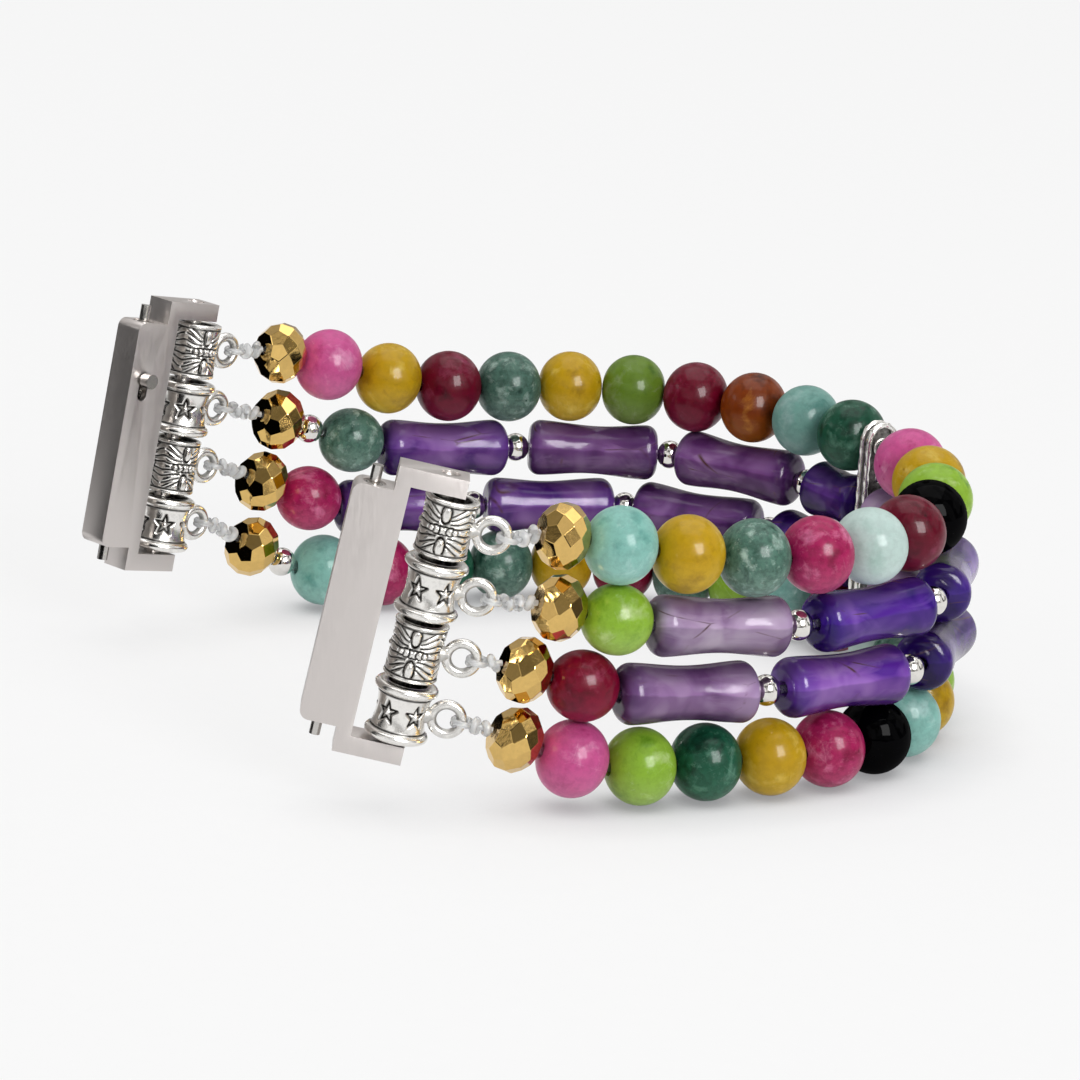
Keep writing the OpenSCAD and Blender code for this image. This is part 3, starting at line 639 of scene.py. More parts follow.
def amethyst_material():
    """Amethyst, ground to a waisted tube and polished: clear quartz with purple zones and veils."""
    material, tree, shader = new_material("polished_amethyst", {
        "Roughness": 0.2, "IOR": 1.54, "Specular IOR Level": 0.06, "Transmission Weight": 0.2,
        "Subsurface Weight": 0.3, "Subsurface Radius": (1, 1, 1), "Subsurface Scale": 0.8 * MM,
        "Coat Weight": 0.28, "Coat Roughness": 0.06})
    where = add(tree, "ShaderNodeTexCoord").outputs["Object"]
    tone, rise, along = [
        add(tree, "ShaderNodeAttribute", {"attribute_name": name}).outputs["Fac"]
        for name in ("tone", "rise", "along")]
    pale, medium, deep = [
        add(tree, "ShaderNodeValToRGB", {
            "stops": [(0.2 * k, code) for k, code in enumerate(codes)]}, {"Fac": tone})
        for codes in AMETHYST]
    # Zones some 4 mm across make whole areas darker or paler
    zone = add(tree, "ShaderNodeTexNoise", inputs={
        "Vector": where, "Scale": cells(4.2), "Detail": 2, "Roughness": 0.5, "Distortion": 0.4})
    low = add(tree, "ShaderNodeValToRGB", {"stops": [(0.36, "#ffffff"), (0.5, "#000000")]}, {
        "Fac": zone})
    high = add(tree, "ShaderNodeValToRGB", {"stops": [(0.52, "#000000"), (0.68, "#ffffff")]}, {
        "Fac": zone})
    body = add(tree, "ShaderNodeMix", BLEND, {0: low, 6: medium, 7: deep})
    body = add(tree, "ShaderNodeMix", BLEND, {0: high, 6: body, 7: pale})
    # Veils 1 to 2 mm wide cross the stone, drawn out along it
    tilted = add(tree, "ShaderNodeMapping", inputs={
        "Vector": where, "Rotation": (0.3, 0.5, 0.4), "Scale": (0.5, 0.8, 1.5)})
    veil = add(tree, "ShaderNodeTexNoise", inputs={
        "Vector": tilted, "Scale": cells(2.4), "Detail": 4, "Roughness": 0.5, "Distortion": 0.9})
    veils = add(tree, "ShaderNodeValToRGB", {"stops": [(0.5, "#000000"), (0.68, "#ffffff")]}, {
        "Fac": veil})
    amount = add(tree, "ShaderNodeMath", {"operation": "MULTIPLY"}, {0: veils, 1: 0.5})
    body = add(tree, "ShaderNodeMix", BLEND, {0: amount, 6: body, 7: pale})
    # Painted light and shade: a pale band above the middle with a crisp lower edge, darker top and
    # bottom
    wavy = add(tree, "ShaderNodeMath", {"operation": "MULTIPLY_ADD"}, {0: zone, 1: 0.5, 2: rise})
    band = add(tree, "ShaderNodeMapRange", inputs={
        "Value": wavy, "From Min": -0.43, "From Max": 1.4})
    shade = add(tree, "ShaderNodeValToRGB", {
        "stops": [(0.02, "#848484"), (0.2, "#c0c0c0"), (0.46, "#d0d0d0"), (0.5, "#ffffff"),
                  (0.66, "#f4f4f4"), (0.86, "#a8a8a8"), (0.98, "#7c7c7c")]}, {"Fac": band})
    body = add(tree, "ShaderNodeMix", SHADE, {0: 0.85, 6: body, 7: shade})
    # The full ends hold more stone, so they are deeper than the waist
    ends = add(tree, "ShaderNodeValToRGB", {
        "stops": [(0, "#7050d0"), (0.2, "#ffffff"), (0.86, "#ffffff"), (1, "#7858c8")]}, {
        "Fac": along})
    depth = add(tree, "ShaderNodeMath", {"operation": "MULTIPLY_ADD"}, {0: tone, 1: 0.7, 2: 0.1})
    body = add(tree, "ShaderNodeMix", SHADE, {0: depth, 6: body, 7: ends})
    # A few brown stained cracks, thinner than 0.1 mm
    crack = add(tree, "ShaderNodeTexVoronoi", {"feature": "DISTANCE_TO_EDGE"}, {
        "Vector": tilted, "Scale": cells(5)})
    line_mask = add(tree, "ShaderNodeValToRGB", {
        "stops": [(0.004, "#ffffff"), (0.018, "#000000")]}, {"Fac": crack})
    stain = add(tree, "ShaderNodeMath", {"operation": "MULTIPLY"}, {0: line_mask, 1: veils})
    body = add(tree, "ShaderNodeMix", BLEND, {0: stain, 6: body, 7: "#5a3a3c"})
    ground = add(tree, "ShaderNodeTexNoise", inputs={
        "Vector": where, "Scale": cells(3), "Detail": 1, "Roughness": 0.4})
    wave = add(tree, "ShaderNodeBump", inputs={
        "Height": ground, "Distance": 0.4 * MM, "Strength": 0.35})
    connect(tree, shader, {"Base Color": body, "Normal": wave, "Coat Normal": wave})
    return material


def metal_material(name, base, roughness, grain_mm, relief_mm, stretch=(1, 1, 1), dark=0.9):
    """A metal whose finish is drawn by a fine noise of the grain's real size.

    Dark is how much of the base colour the grain's hollows keep.
    """
    material, tree, shader = new_material(name, {"Metallic": 1})
    where = add(tree, "ShaderNodeTexCoord").outputs["Object"]
    scaled = add(tree, "ShaderNodeMapping", inputs={"Vector": where, "Scale": stretch})
    grain = add(tree, "ShaderNodeTexNoise", inputs={
        "Vector": scaled, "Scale": cells(grain_mm), "Detail": 4, "Roughness": 0.6})
    shade = add(tree, "ShaderNodeValToRGB", {
        "stops": [(0.3, (dark, dark, dark)), (0.7, "#ffffff")]}, {"Fac": grain})
    body = add(tree, "ShaderNodeMix", SHADE, {0: 1.0, 6: base, 7: shade})
    spread = add(tree, "ShaderNodeMapRange", inputs={
        "Value": grain, "From Min": 0.3, "From Max": 0.7,
        "To Min": roughness * 0.8, "To Max": roughness * 1.25})
    bump = add(tree, "ShaderNodeBump", inputs={
        "Height": grain, "Distance": relief_mm * MM, "Strength": 0.4})
    connect(tree, shader, {"Base Color": body, "Roughness": spread, "Normal": bump})
    return material


def antique_material(base):
    """Cast zinc, silver plated, blackened and tumbled: bright where it stands out, else black."""
    material, tree, shader = new_material("antique_silver_plate", {"Metallic": 1})
    where = add(tree, "ShaderNodeTexCoord").outputs["Object"]
    recess = add(tree, "ShaderNodeAttribute", {"attribute_name": "recess"}).outputs["Fac"]
    blotch = add(tree, "ShaderNodeTexNoise", inputs={
        "Vector": where, "Scale": cells(0.5), "Detail": 5, "Roughness": 0.65})
    stain = add(tree, "ShaderNodeMapRange", inputs={
        "Value": blotch, "From Min": 0.3, "From Max": 0.7, "To Min": -0.12, "To Max": 0.14})
    dirt = add(tree, "ShaderNodeMath", {"operation": "ADD", "use_clamp": True}, {
        0: recess, 1: stain})
    body = add(tree, "ShaderNodeMix", BLEND, {0: dirt, 6: base, 7: "#15110e"})
    dull = add(tree, "ShaderNodeMapRange", inputs={"Value": dirt, "To Min": 0.2, "To Max": 0.6})
    bump = add(tree, "ShaderNodeBump", inputs={
        "Height": blotch, "Distance": 0.03 * MM, "Strength": 0.35})
    connect(tree, shader, {"Base Color": body, "Roughness": dull, "Normal": bump})
    return material


def antique(colours):
    """The cast silver of the bails and the divider, made once."""
    return bpy.data.materials.get("antique_silver_plate") or antique_material(colours.antique)


def elastic_material(name, clear, tint):
    """Clear polyurethane cord, extruded: glassy, a little milky, with a soft gloss."""
    material, tree, shader = new_material(name, {
        "Roughness": 0.12, "IOR": 1.49, "Transmission Weight": clear})
    where = add(tree, "ShaderNodeTexCoord").outputs["Object"]
    haze = add(tree, "ShaderNodeTexNoise", inputs={
        "Vector": where, "Scale": cells(0.8), "Detail": 3})
    body = add(tree, "ShaderNodeValToRGB", {"stops": [(0.3, tint), (0.7, "#ffffff")]}, {
        "Fac": haze})
    bump = add(tree, "ShaderNodeBump", inputs={
        "Height": haze, "Distance": 0.05 * MM, "Strength": 0.4})
    connect(tree, shader, {"Base Color": body, "Normal": bump})
    return material


# Operators, one for each group of like pieces

# How much darker single gemstones are, by strand and place on it
DARKER = {(0, 6): 0.5, (0, 13): 0.3, (0, 14): 0.5, (0, 16): 0.35, (0, 17): 0.8, (0, 19): 0.3,
          (0, 20): 0.4}


class RoundBeads(bpy.types.Operator):
    """Thread the round gemstone beads, each in its own stone"""

    bl_idname = "band.round_beads"
    bl_label = "Round beads"

    def execute(self, context):
        sizes = context.scene.band_sizes
        length = ROUND_LENGTHS[0] * MM - sizes.gap
        profile = round_profile(sizes.round_d, length, sizes.bore_d)
        pattern = turned("round_bead", profile, 48, length)
        kinds = list(STONES)
        materials = [stone_material(name, *STONES[name]) for name in kinds]
        tree = strung_tree("Strung beads", materials, seed=3)
        for section in SECTIONS:
            places = []
            for strand, i, name, a, b in section_pieces(section, STONES):
                across = 1 if strand in (0, 3) else sizes.small_round_d / sizes.round_d
                long = (piece_len(strand, name) * MM - sizes.gap) / length
                places.append(((a + b) / 2, b - a, (across, across, long), kinds.index(name),
                               DARKER.get((strand, i), 0)))
            beads = strung(f"{section}_gemstones", tree, pattern.copy(), places)
            finish_piece(beads, section, "polished_gemstone", f"{section}_round_beads")
        return {"FINISHED"}


# How deep the colour of each tube is, by strand and place on it
TONES = {(1, 2): 0.0, (1, 4): 0.8, (1, 6): 0.85, (1, 8): 0.05, (1, 10): 0.92, (1, 12): 0.2,
         (1, 14): 0.28, (1, 16): 0.5,
         (2, 2): 0.14, (2, 4): 0.6, (2, 6): 0.9, (2, 8): 0.08, (2, 11): 0.9, (2, 13): 0.38,
         (2, 15): 0.5, (2, 17): 0.5}


def write_tube_directions(mesh, places, length):
    """Per vertex: how far up the tube's side it is, and how far along the tube."""
    count = len(mesh.vertices) // len(places)
    rise, along = [], []
    for k, (centre, axis, size, kind, tone) in enumerate(places):
        axis = axis.normalized()
        upward = (Vector((0, 0, 1)) - axis * axis.z).normalized()
        for v in mesh.vertices[k * count:(k + 1) * count]:
            offset = v.co - centre
            reach = offset.dot(axis)
            side = (offset - axis * reach).normalized()
            rise.append(side.dot(upward))
            along.append(min(max(reach / (length * size[2]) + 0.5, 0), 1))
    write_values(mesh, "rise", rise)
    write_values(mesh, "along", along)


class AmethystTubes(bpy.types.Operator):
    """Thread the amethyst tubes, pale at the near end and deep purple behind"""

    bl_idname = "band.amethyst_tubes"
    bl_label = "Amethyst tubes"

    def execute(self, context):
        sizes = context.scene.band_sizes
        material = amethyst_material()
        tree = strung_tree("Strung tubes", [material], seed=7)
        noise.seed_set(1)
        length = LENGTHS["tube"] * MM - sizes.gap
        profile = tube_profile(sizes.tube_d, sizes.waist_d, length, sizes.bore_d)
        pattern = turned("tube_bead", profile, 56, length)
        for section in SECTIONS[1:-1]:
            places = []
            for strand, i, name, a, b in section_pieces(section, ("tube", "short_tube", "stub")):
                long = (piece_len(strand, name) * MM - sizes.gap) / length
                places.append(((a + b) / 2, b - a, (1, 1, long), 0, TONES.get((strand, i), 0.85)))
            tubes = strung(f"{section}_amethyst", tree, pattern.copy(), places)
            write_tube_directions(tubes.data, places, length)
            # Hand ground stone is never quite true: over some 5 mm it wanders by up to 0.06 mm
            for v in tubes.data.vertices:
                v.co += noise.noise_vector(v.co * cells(5)) * 0.06 * MM
            finish_piece(tubes, section, "amethyst", f"{section}_amethyst_tubes")
        return {"FINISHED"}


class SilverBalls(bpy.types.Operator):
    """Thread the silver balls between the tubes"""

    bl_idname = "band.silver_balls"
    bl_label = "Silver balls"

    def execute(self, context):
        sizes = context.scene.band_sizes
        colours = context.scene.band_colours
        # Silver plate, polished in a barrel: a bright mirror that is a little uneven
        silver = metal_material("bright_silver_plate", colours.silver,
                                roughness=0.05, grain_mm=0.6, relief_mm=0.004)
        length = LENGTHS["ball"] * MM - sizes.gap
        pattern = turned("ball", round_profile(sizes.ball_d, length, sizes.bore_d), 40, length)
        tree = strung_tree("Strung balls", [silver], seed=11)
        for section in ("near_corner", "back", "far_corner", "far_end"):
            places = [((a + b) / 2, b - a, (1, 1, 1), 0, 0)
                      for strand, i, name, a, b in section_pieces(section, ("ball",))]
            balls = strung(f"{section}_balls", tree, pattern.copy(), places)
            finish_piece(balls, section, "bright_silver", f"{section}_silver_balls")
        return {"FINISHED"}


def rondelle_mesh(diameter, length, hole, facets=9):
    """A drilled bead cut by rows of flat facets, each turned by half a facet from the next."""
    step = 2 * math.pi / facets
    across = diameter / 2
    work = bmesh.new()
    bmesh.ops.create_cube(work, size=2.4 * across)
    planes = [(Vector((0, 0, sign)), length / 2) for sign in (-1, 1)]
    # Each row's lean in degrees, its turn in facets, and its depth as a part of the radius
    for lean, turn, reach in ((0, 0.5, 0.955), (22, 0, 0.93), (47, 0.5, 0.86)):
        for sign in (-1, 1) if lean else (1,):
            e = math.radians(lean) * sign
            for i in range(facets):
                a = (i + turn) * step
                normal = Vector((math.cos(a) * math.cos(e), math.sin(a) * math.cos(e), math.sin(e)))
                planes.append((normal, across * reach))
    for normal, reach in planes:
        cut = bmesh.ops.bisect_plane(
            work, geom=work.verts[:] + work.edges[:] + work.faces[:], dist=0.0001 * MM,
            plane_co=normal * reach, plane_no=normal, clear_outer=True)
        edges = [e for e in cut["geom_cut"] if isinstance(e, bmesh.types.BMEdge)]
        if len(edges) > 2:
            bmesh.ops.contextual_create(work, geom=edges)
    bmesh.ops.remove_doubles(work, verts=work.verts, dist=0.01 * MM)
    bmesh.ops.dissolve_limit(
        work, angle_limit=math.radians(0.5), verts=work.verts, edges=work.edges)
    bmesh.ops.recalc_face_normals(work, faces=work.faces)
    bmesh.ops.bevel(
        work, geom=work.edges[:], offset=0.035 * MM, segments=1, affect="EDGES", clamp_overlap=True)
    # Each table opens into the drilled hole
    rims = []
    for sign in (-1, 1):
        table = max(
            work.faces, key=lambda f: sign * f.calc_center_median().z + f.normal.z * sign * MM)
        rim = list(table.edges)
        work.faces.remove(table)
        ring = bmesh.ops.create_circle(
            work, segments=24, radius=hole / 2,
            matrix=Matrix.Translation((0, 0, sign * length / 2)))["verts"]
        circle = list(dict.fromkeys(e for v in ring for e in v.link_edges))
        bmesh.ops.bridge_loops(work, edges=rim + circle)
        rims += circle
    bmesh.ops.bridge_loops(work, edges=rims)
    bmesh.ops.recalc_face_normals(work, faces=work.faces)
    mesh = bpy.data.meshes.new("rondelle")
    work.to_mesh(mesh)
    work.free()
    mesh.shade_flat()
    return mesh


class GoldRondelles(bpy.types.Operator):
    """Thread a faceted gold rondelle at each end of each strand"""

    bl_idname = "band.gold_rondelles"
    bl_label = "Gold rondelles"

    def execute(self, context):
        sizes = context.scene.band_sizes
        colours = context.scene.band_colours
        # Glass coated with metal in a vacuum: a true mirror on flat facets
        gold = metal_material("gold_coated_glass", colours.gold,
                              roughness=0.05, grain_mm=0.5, relief_mm=0.006)
        pattern = rondelle_mesh(sizes.gold_d, LENGTHS["gold"] * MM - sizes.gap, sizes.bore_d)
        tree = strung_tree("Strung rondelles", [gold], seed=5)
        for side in SIDES:
            section = f"{side}_end"
            places = [((a + b) / 2, b - a, (1, 1, 1), 0, 0)
                      for strand, i, name, a, b in section_pieces(section, ("gold",))]
            beads = strung(f"{section}_rondelles", tree, pattern.copy(), places)
            nodes = [f"{side}_gold_bead_{k}" for k in range(1, 5)]
            finish_piece(beads, section, "gold_coating", *nodes)
        return {"FINISHED"}


# Bails: a tube with cast ornament and a ring, in the row's frame, in millimetres

BAIL_R, BAIL_HOLE_R, BAIL_H = 2.35, 1.55, 4.75
RING_R, RING_WIRE_R, RING_REACH = 1.225, 0.4, 3.7


def segment_distance(x, y, ax, ay, bx, by):
    """Distance from x, y to the line from a to b."""
    dx, dy = bx - ax, by - ay
    t = np.clip(((x - ax) * dx + (y - ay) * dy) / (dx * dx + dy * dy), 0, 1)
    return np.hypot(x - ax - t * dx, y - ay - t * dy)


def notch(distance, width):
    """1 on a line and 0 away from it, with soft edges."""
    return np.clip(1.4 - distance / width, 0, 1)


def feather_relief(x, z):
    """Raised height and recess of the straight bail: ovals, lumps and feathered grooves."""
    raised = np.zeros_like(x)
    recess = np.zeros_like(x)
    ax = np.abs(x)
    az = np.abs(z)
    # Where each groove starts, how far it rises, and how much it bends
    grooves = ((0.22, 0.12, 0.3), (0.55, 0.32, 0.45), (0.92, 0.6, 0.5), (1.25, 0.95, 0.35))
    for k, (z0, rise, bend) in enumerate(grooves):
        curve = z0 + rise * (ax - 0.5) / 1.7 + 0.1 * bend * np.sin(ax * 3.2 + k)
        groove = notch(np.abs(az - curve), 0.1) * (ax > 0.5) * (ax < 2.35 - 0.12 * k)
        recess = np.maximum(recess, groove)
    oval = np.hypot(ax / 0.36, (az - 1.38) / 0.66)
    recess = np.maximum(recess, notch(np.abs(oval - 1.18) * 0.4, 0.13))
    recess = np.where(oval < 1, 0, recess)
    raised += 0.2 * np.sqrt(np.clip(1 - oval ** 2, 0, 1))
    for cx in (0.2, 0.62, 1.02):
        r = 0.3 if cx < 0.9 else 0.22
        lump = np.hypot(ax - cx, z) / r
        recess = np.maximum(recess, notch(np.abs(lump - 1.2) * r, 0.09))
        recess = np.where(lump < 1, 0, recess)
        raised = np.maximum(raised, 0.17 * np.sqrt(np.clip(1 - lump ** 2, 0, 1)))
    return raised - 0.13 * recess, recess


def star_relief(x, z):
    """Raised height and recess of the drum: a five pointed star cut in its waist."""
    tip_r, notch_r, hub_hole_r, hub_r = 0.92, 0.36, 0.22, 0.24
    corners = []
    for k in range(10):
        r = tip_r if k % 2 == 0 else notch_r
        a = math.pi / 2 + k * math.pi / 5
        corners.append((r * math.cos(a), r * math.sin(a)))
    edge = np.full_like(x, 9.0)
    inside = np.zeros(x.shape, bool)
    for k in range(10):
        (x0, z0), (x1, z1) = corners[k], corners[(k + 1) % 10]
        edge = np.minimum(edge, segment_distance(x, z, x0, z0, x1, z1))
        crosses = (z0 > z) != (z1 > z)
        with np.errstate(divide="ignore", invalid="ignore"):
            inside ^= crosses & (x < (x1 - x0) * (z - z0) / (z1 - z0) + x0)
    rim = notch(edge, 0.12)
    recess = np.maximum(rim, np.where(inside, 0.35, 0))
    centre = np.hypot(x, z)
    recess = np.where(centre < hub_hole_r, 0, recess)
    raised = 0.1 * np.sqrt(np.clip(1 - (centre / hub_r) ** 2, 0, 1))
    return raised - 0.16 * rim - np.where(inside & (centre > hub_r), 0.05, 0), recess


def bail_outline(drum, z):
    """Radius of a bail's outside at height z: a waist between two rims, thick on the drum."""
    half = BAIL_H / 2
    away = half - np.abs(z)
    rim, rim_rise = (0.44, 0.6) if drum else (0.17, 0.2)
    bulge = np.sqrt(np.clip(1 - ((away - rim) / rim) ** 2, 0, 1))
    edge = 2.0 + rim_rise * bulge
    if drum:
        waist = 2.02 + 0.22 * (np.abs(z) / (half - 2 * rim)) ** 2
        edge = np.maximum(edge, waist * (away > rim))
    else:
        waist = 2.1 + 0.06 * (np.abs(z) / half) ** 3
    return np.where(away < 2 * rim, edge, waist)


def bail_parts(drum):
    """Points, faces and recess of one bail about its own middle."""
    steps, rows = 176, 84
    half = BAIL_H / 2
    turns = np.linspace(0, 2 * np.pi, steps, endpoint=False)
    # The rows stand closer together at the rims
    crowded = half * np.sin(np.linspace(-np.pi / 2, np.pi / 2, rows))
    even = np.linspace(-half, half, rows)
    angle, z = np.meshgrid(turns, crowded * 0.4 + even * 0.6)
    # Ornament: its radius, repeats round the bail, first turn in degrees, and height of the calm
    # rim and of the groove under it
    if drum:
        relief, around, repeat, first, calm_rim, groove = star_relief, 2.05, 5, -126, 0.9, 0.93
    else:
        relief, around, repeat, first, calm_rim, groove = feather_relief, 2.1, 3, -98, 0.35, 0.4
    pitch = 2 * np.pi / repeat
    local = (angle - math.radians(first) + pitch / 2) % pitch - pitch / 2
    raised, cut = relief(local * around, z)
    away = half - np.abs(z)
    calm = np.clip((away - calm_rim) / 0.15, 0, 1)
    radius = bail_outline(drum, z) + raised * calm
    # The grooves hold the black too
    recess = np.maximum(cut * calm, 0.95 * notch(np.abs(away - groove), 0.1))
    points = [(r * math.cos(a), r * math.sin(a), h)
              for r, a, h in zip(radius.ravel(), angle.ravel(), z.ravel())]
    dark = list(recess.ravel())
    lip_r = BAIL_HOLE_R + 0.12
    for r, h, d in ((lip_r, half - 0.02, 0.3), (BAIL_HOLE_R, half - 0.2, 0.95), (BAIL_HOLE_R, 0, 1),
                    (BAIL_HOLE_R, 0.2 - half, 0.95), (lip_r, 0.02 - half, 0.3)):
        points += [(r * math.cos(a), r * math.sin(a), h) for a in turns]
        dark += [d] * steps
    parts = [(points, grid_faces(rows + 5, steps))]
    ring = [(RING_REACH + RING_R * math.cos(a), 0, RING_R * math.sin(a))
            for a in np.linspace(0, 2 * math.pi, 56, endpoint=False)]
    parts.append(swept(ring, [RING_WIRE_R] * len(ring), 18, closed=True))
    dark += [0.12 if math.hypot(p.x - RING_REACH, p.z) > 1.0 else 0.5 for p in parts[-1][0]]
    # The ring's foot narrows as it leaves the tube
    root = [(BAIL_R + out, 0, 0) for out in (-0.5, -0.15, 0.1, 0.3)]
    parts.append(swept(root, [0.72, 0.66, 0.5, 0.42], 18))
    dark += [0.35] * len(parts[-1][0])
    return parts, dark


class Bails(bpy.types.Operator):
    """Hang the four cast bails on each rod"""

    bl_idname = "band.bails"
    bl_label = "Bails"

    def execute(self, context):
        material = antique(context.scene.band_colours)
        shapes = [bail_parts(False), bail_parts(True)]
        for side in SIDES:
            place = row_frame(side)
            for strand in range(4):
                parts, dark = shapes[strand % 2]
                mesh = joined("bail", parts)
                write_values(mesh, "recess", dark)
                move = place @ Matrix.Translation((0, 0, bail_z(strand) * MM))
                mesh.transform(move @ Matrix.Scale(MM, 4))
                tidy_mesh(mesh, 60)
                mesh.materials.append(material)
                bail = new_object(f"{side}_cast_bail_{strand + 1}", mesh)
                node = f"{side}_bail_{strand + 1}"
                finish_piece(bail, f"{side}_end", "antique_silver", node)
        return {"FINISHED"}


class Divider(bpy.types.Operator):
    """Cast divider bar with a rope edge and a row of lumps between its holes"""

    bl_idname = "band.divider"
    bl_label = "Divider"

    def execute(self, context):
        # The plate, a little inside the CAD bar, its outline round the first and last holes
        end_r, past_hole, half_plate = 1.6, 2.0, 0.45
        low, high = FLAT_Z[3] - past_hole + end_r, FLAT_Z[0] + past_hole - end_r
        outline = [(end_r * math.cos(a), z + end_r * math.sin(a))
                   for z, first in ((high, 0), (low, math.pi))
                   for a in np.linspace(first, first + math.pi, 17)]
        count = len(outline)
        plate = [(t, x * 0.9, z) for t in (-half_plate, half_plate) for x, z in outline]
        faces = [(i, (i + 1) % count, count + (i + 1) % count, count + i) for i in range(count)]
        faces += [tuple(range(count))[::-1], tuple(range(count, 2 * count))]
        parts = [([Vector(p) for p in plate], faces)]
        dark = [0.85] * len(plate)
        # A raised rope edge round both faces
        path = []
        for i in range(count):
            a, b = Vector(outline[i]), Vector(outline[(i + 1) % count])
            pieces = max(1, int((b - a).length / 0.45))
            path += [a.lerp(b, k / pieces) for k in range(pieces)]
        radii = [0.26 + 0.05 * math.sin(i * 2.1) for i in range(len(path))]
        for t in (-0.5, 0.5):
            parts.append(swept([(t, p.x * 0.86, p.y) for p in path], radii, 10, closed=True))
            dark += [0.08] * len(parts[-1][0])
        # Three domes between two holes, the middle one larger
        round_dome = np.linspace(-1.3, 1.3, 9)
        for a, b in zip(FLAT_Z, FLAT_Z[1:]):
            for part, size in ((0.3, 0.4), (0.5, 0.62), (0.7, 0.4)):
                z = a * (1 - part) + b * part
                heights = [-size, *[size * math.sin(a) for a in round_dome], size]
                radii = [0.02, *[size * math.cos(a) for a in round_dome], 0.02]
                parts.append(swept([(0, 0, z + h) for h in heights], radii, 16))
                dark += [0.02] * len(parts[-1][0])
        # A collar round each hole on both faces
        for z in FLAT_Z:
            for t in (-0.62, 0.62):
                collar = [(t, 0.78 * math.cos(a), z + 0.78 * math.sin(a))
                          for a in np.linspace(0, 2 * math.pi, 28, endpoint=False)]
                parts.append(swept(collar, [0.16] * len(collar), 8, closed=True))
                dark += [0.1] * len(parts[-1][0])
        mesh = joined("divider", parts)
        write_values(mesh, "recess", dark)
        x, y, turn = DIVIDER_PLACE
        place = Matrix.Translation(Vector((x - SHIFT_X, y, 0)) * MM)
        mesh.transform(place @ Matrix.Rotation(turn, 4, "Z") @ Matrix.Scale(MM, 4))
        tidy_mesh(mesh, 50)
        mesh.materials.append(antique(context.scene.band_colours))
        bar = new_object("cast_divider", mesh)
        finish_piece(bar, "back", "antique_silver", "divider_bar")
        return {"FINISHED"}


def toward(a, b, distance):
    """The point this far from a on the way to b."""
    return a + (b - a).normalized() * distance


class Cords(bpy.types.Operator):
    """Draw each section's cords through its beads"""

    bl_idname = "band.cords"
    bl_label = "Cords"

    def execute(self, context):
        radius = context.scene.band_sizes.cord_d / 2
        elastic = elastic_material("clear_elastic_cord", 0.95, "#c9ccd0")
        # At a slide the corner's cord reaches into the side's first bead, and the side's own cord
        # stops short of it
        grip = (STRETCH + 0.5) * MM
        clear = grip + 0.2 * MM
        short = {"near_end": (0.3 * MM, 0), "near_side": (0, clear),
                 "far_side": (clear, 0), "far_end": (0, 0.3 * MM)}
        for k, section in enumerate(SECTIONS):
            parts = []
            for strand in range(4):
                first, last = CUTS[strand][k], CUTS[strand][k + 1]
                points = [vertex(strand, i) for i in range(first, last + 1)]
                if section == "near_corner":
                    points.insert(0, toward(points[0], vertex(strand, first - 1), grip))
                if section == "far_corner":
                    points.append(toward(points[-1], vertex(strand, last + 1), grip))
                start, end = short.get(section, (0, 0))
                points[0] = toward(points[0], points[1], start)
                points[-1] = toward(points[-1], points[-2], end)
                parts.append(swept(points, [radius] * len(points), 12))
            mesh = joined("cord", parts)
            tidy_mesh(mesh, 50)
            mesh.materials.append(elastic)
            cords = new_object(f"{section}_elastic", mesh)
            finish_piece(cords, section, "clear_elastic", f"{section}_cords")
        return {"FINISHED"}


def loop_points(centre, across, along, radius, turns, steps, climb):
    """A few turns of cord round centre, in the plane of across and along."""
    normal = across.cross(along).normalized()
    points = []
    for i in range(int(steps * turns) + 1):
        a = 2 * math.pi * i / steps
        lift = climb * (i / (steps * turns) - 0.5)
        out = radius * (math.cos(a) * along + math.sin(a) * across)
        points.append(centre + out + normal * lift)
    return points


class EndKnots(bpy.types.Operator):
    """Tie each cord to its bail's ring with turns of cord and a run of knots"""

    bl_idname = "band.end_knots"
    bl_label = "Loops and knots"

    def execute(self, context):
        sizes = context.scene.band_sizes
        wire = sizes.end_cord_d / 2
        elastic = elastic_material("knotted_elastic_cord", 0.6, "#e8eaeb")
        for side in SIDES:
            place = row_frame(side)
            turn = place.to_3x3()
            across, along = turn @ Vector((0, 1, 0)), turn @ Vector((1, 0, 0))
            parts = []
            for strand in range(4):
                ring = place @ (Vector((RING_REACH + RING_R, 0, bail_z(strand))) * MM)
                bead = vertex(strand, 0 if side == "near" else len(STRANDS[strand]))
                loop = loop_points(ring, across, along, 0.68 * MM, 1.6, 30, 0.45 * MM)
                parts.append(swept(loop, [wire] * len(loop), 12))
                start = ring + along * 0.7 * MM
                way = bead - start
                reach = way.length
                d = way.normalized()
                side_way = d.cross(Vector((0, 0, 1))).normalized()
                up = side_way.cross(d)
                core = [start + d * reach * t for t in np.linspace(0, 1.05, 8)]
                parts.append(swept(core, [wire] * len(core), 10))
                # A knot every 0.95 mm, each tied at its own tilt
                count = max(1, round(reach / (0.95 * MM)))
                for k in range(count):
                    centre = start + d * reach * (k + 0.5) / count
                    size = (0.42 + 0.08 * math.sin(2.4 * k + strand)) * MM
                    tilt = Matrix.Rotation(1.3 * k + strand, 3, d)
                    a = (tilt @ side_way + d * 0.5 * (-1) ** k).normalized()
                    b = (tilt @ up).normalized()
                    knot = loop_points(centre, a, b, size, 0.94, 16, 0.2 * MM)
                    parts.append(swept(knot, [wire * 1.3] * len(knot), 12))
            mesh = joined("knots", parts)
            tidy_mesh(mesh, 60)
            mesh.materials.append(elastic)
            knots = new_object(f"{side}_knots", mesh)
            finish_piece(knots, f"{side}_end", "clear_elastic", f"{side}_end_cords")
        return {"FINISHED"}


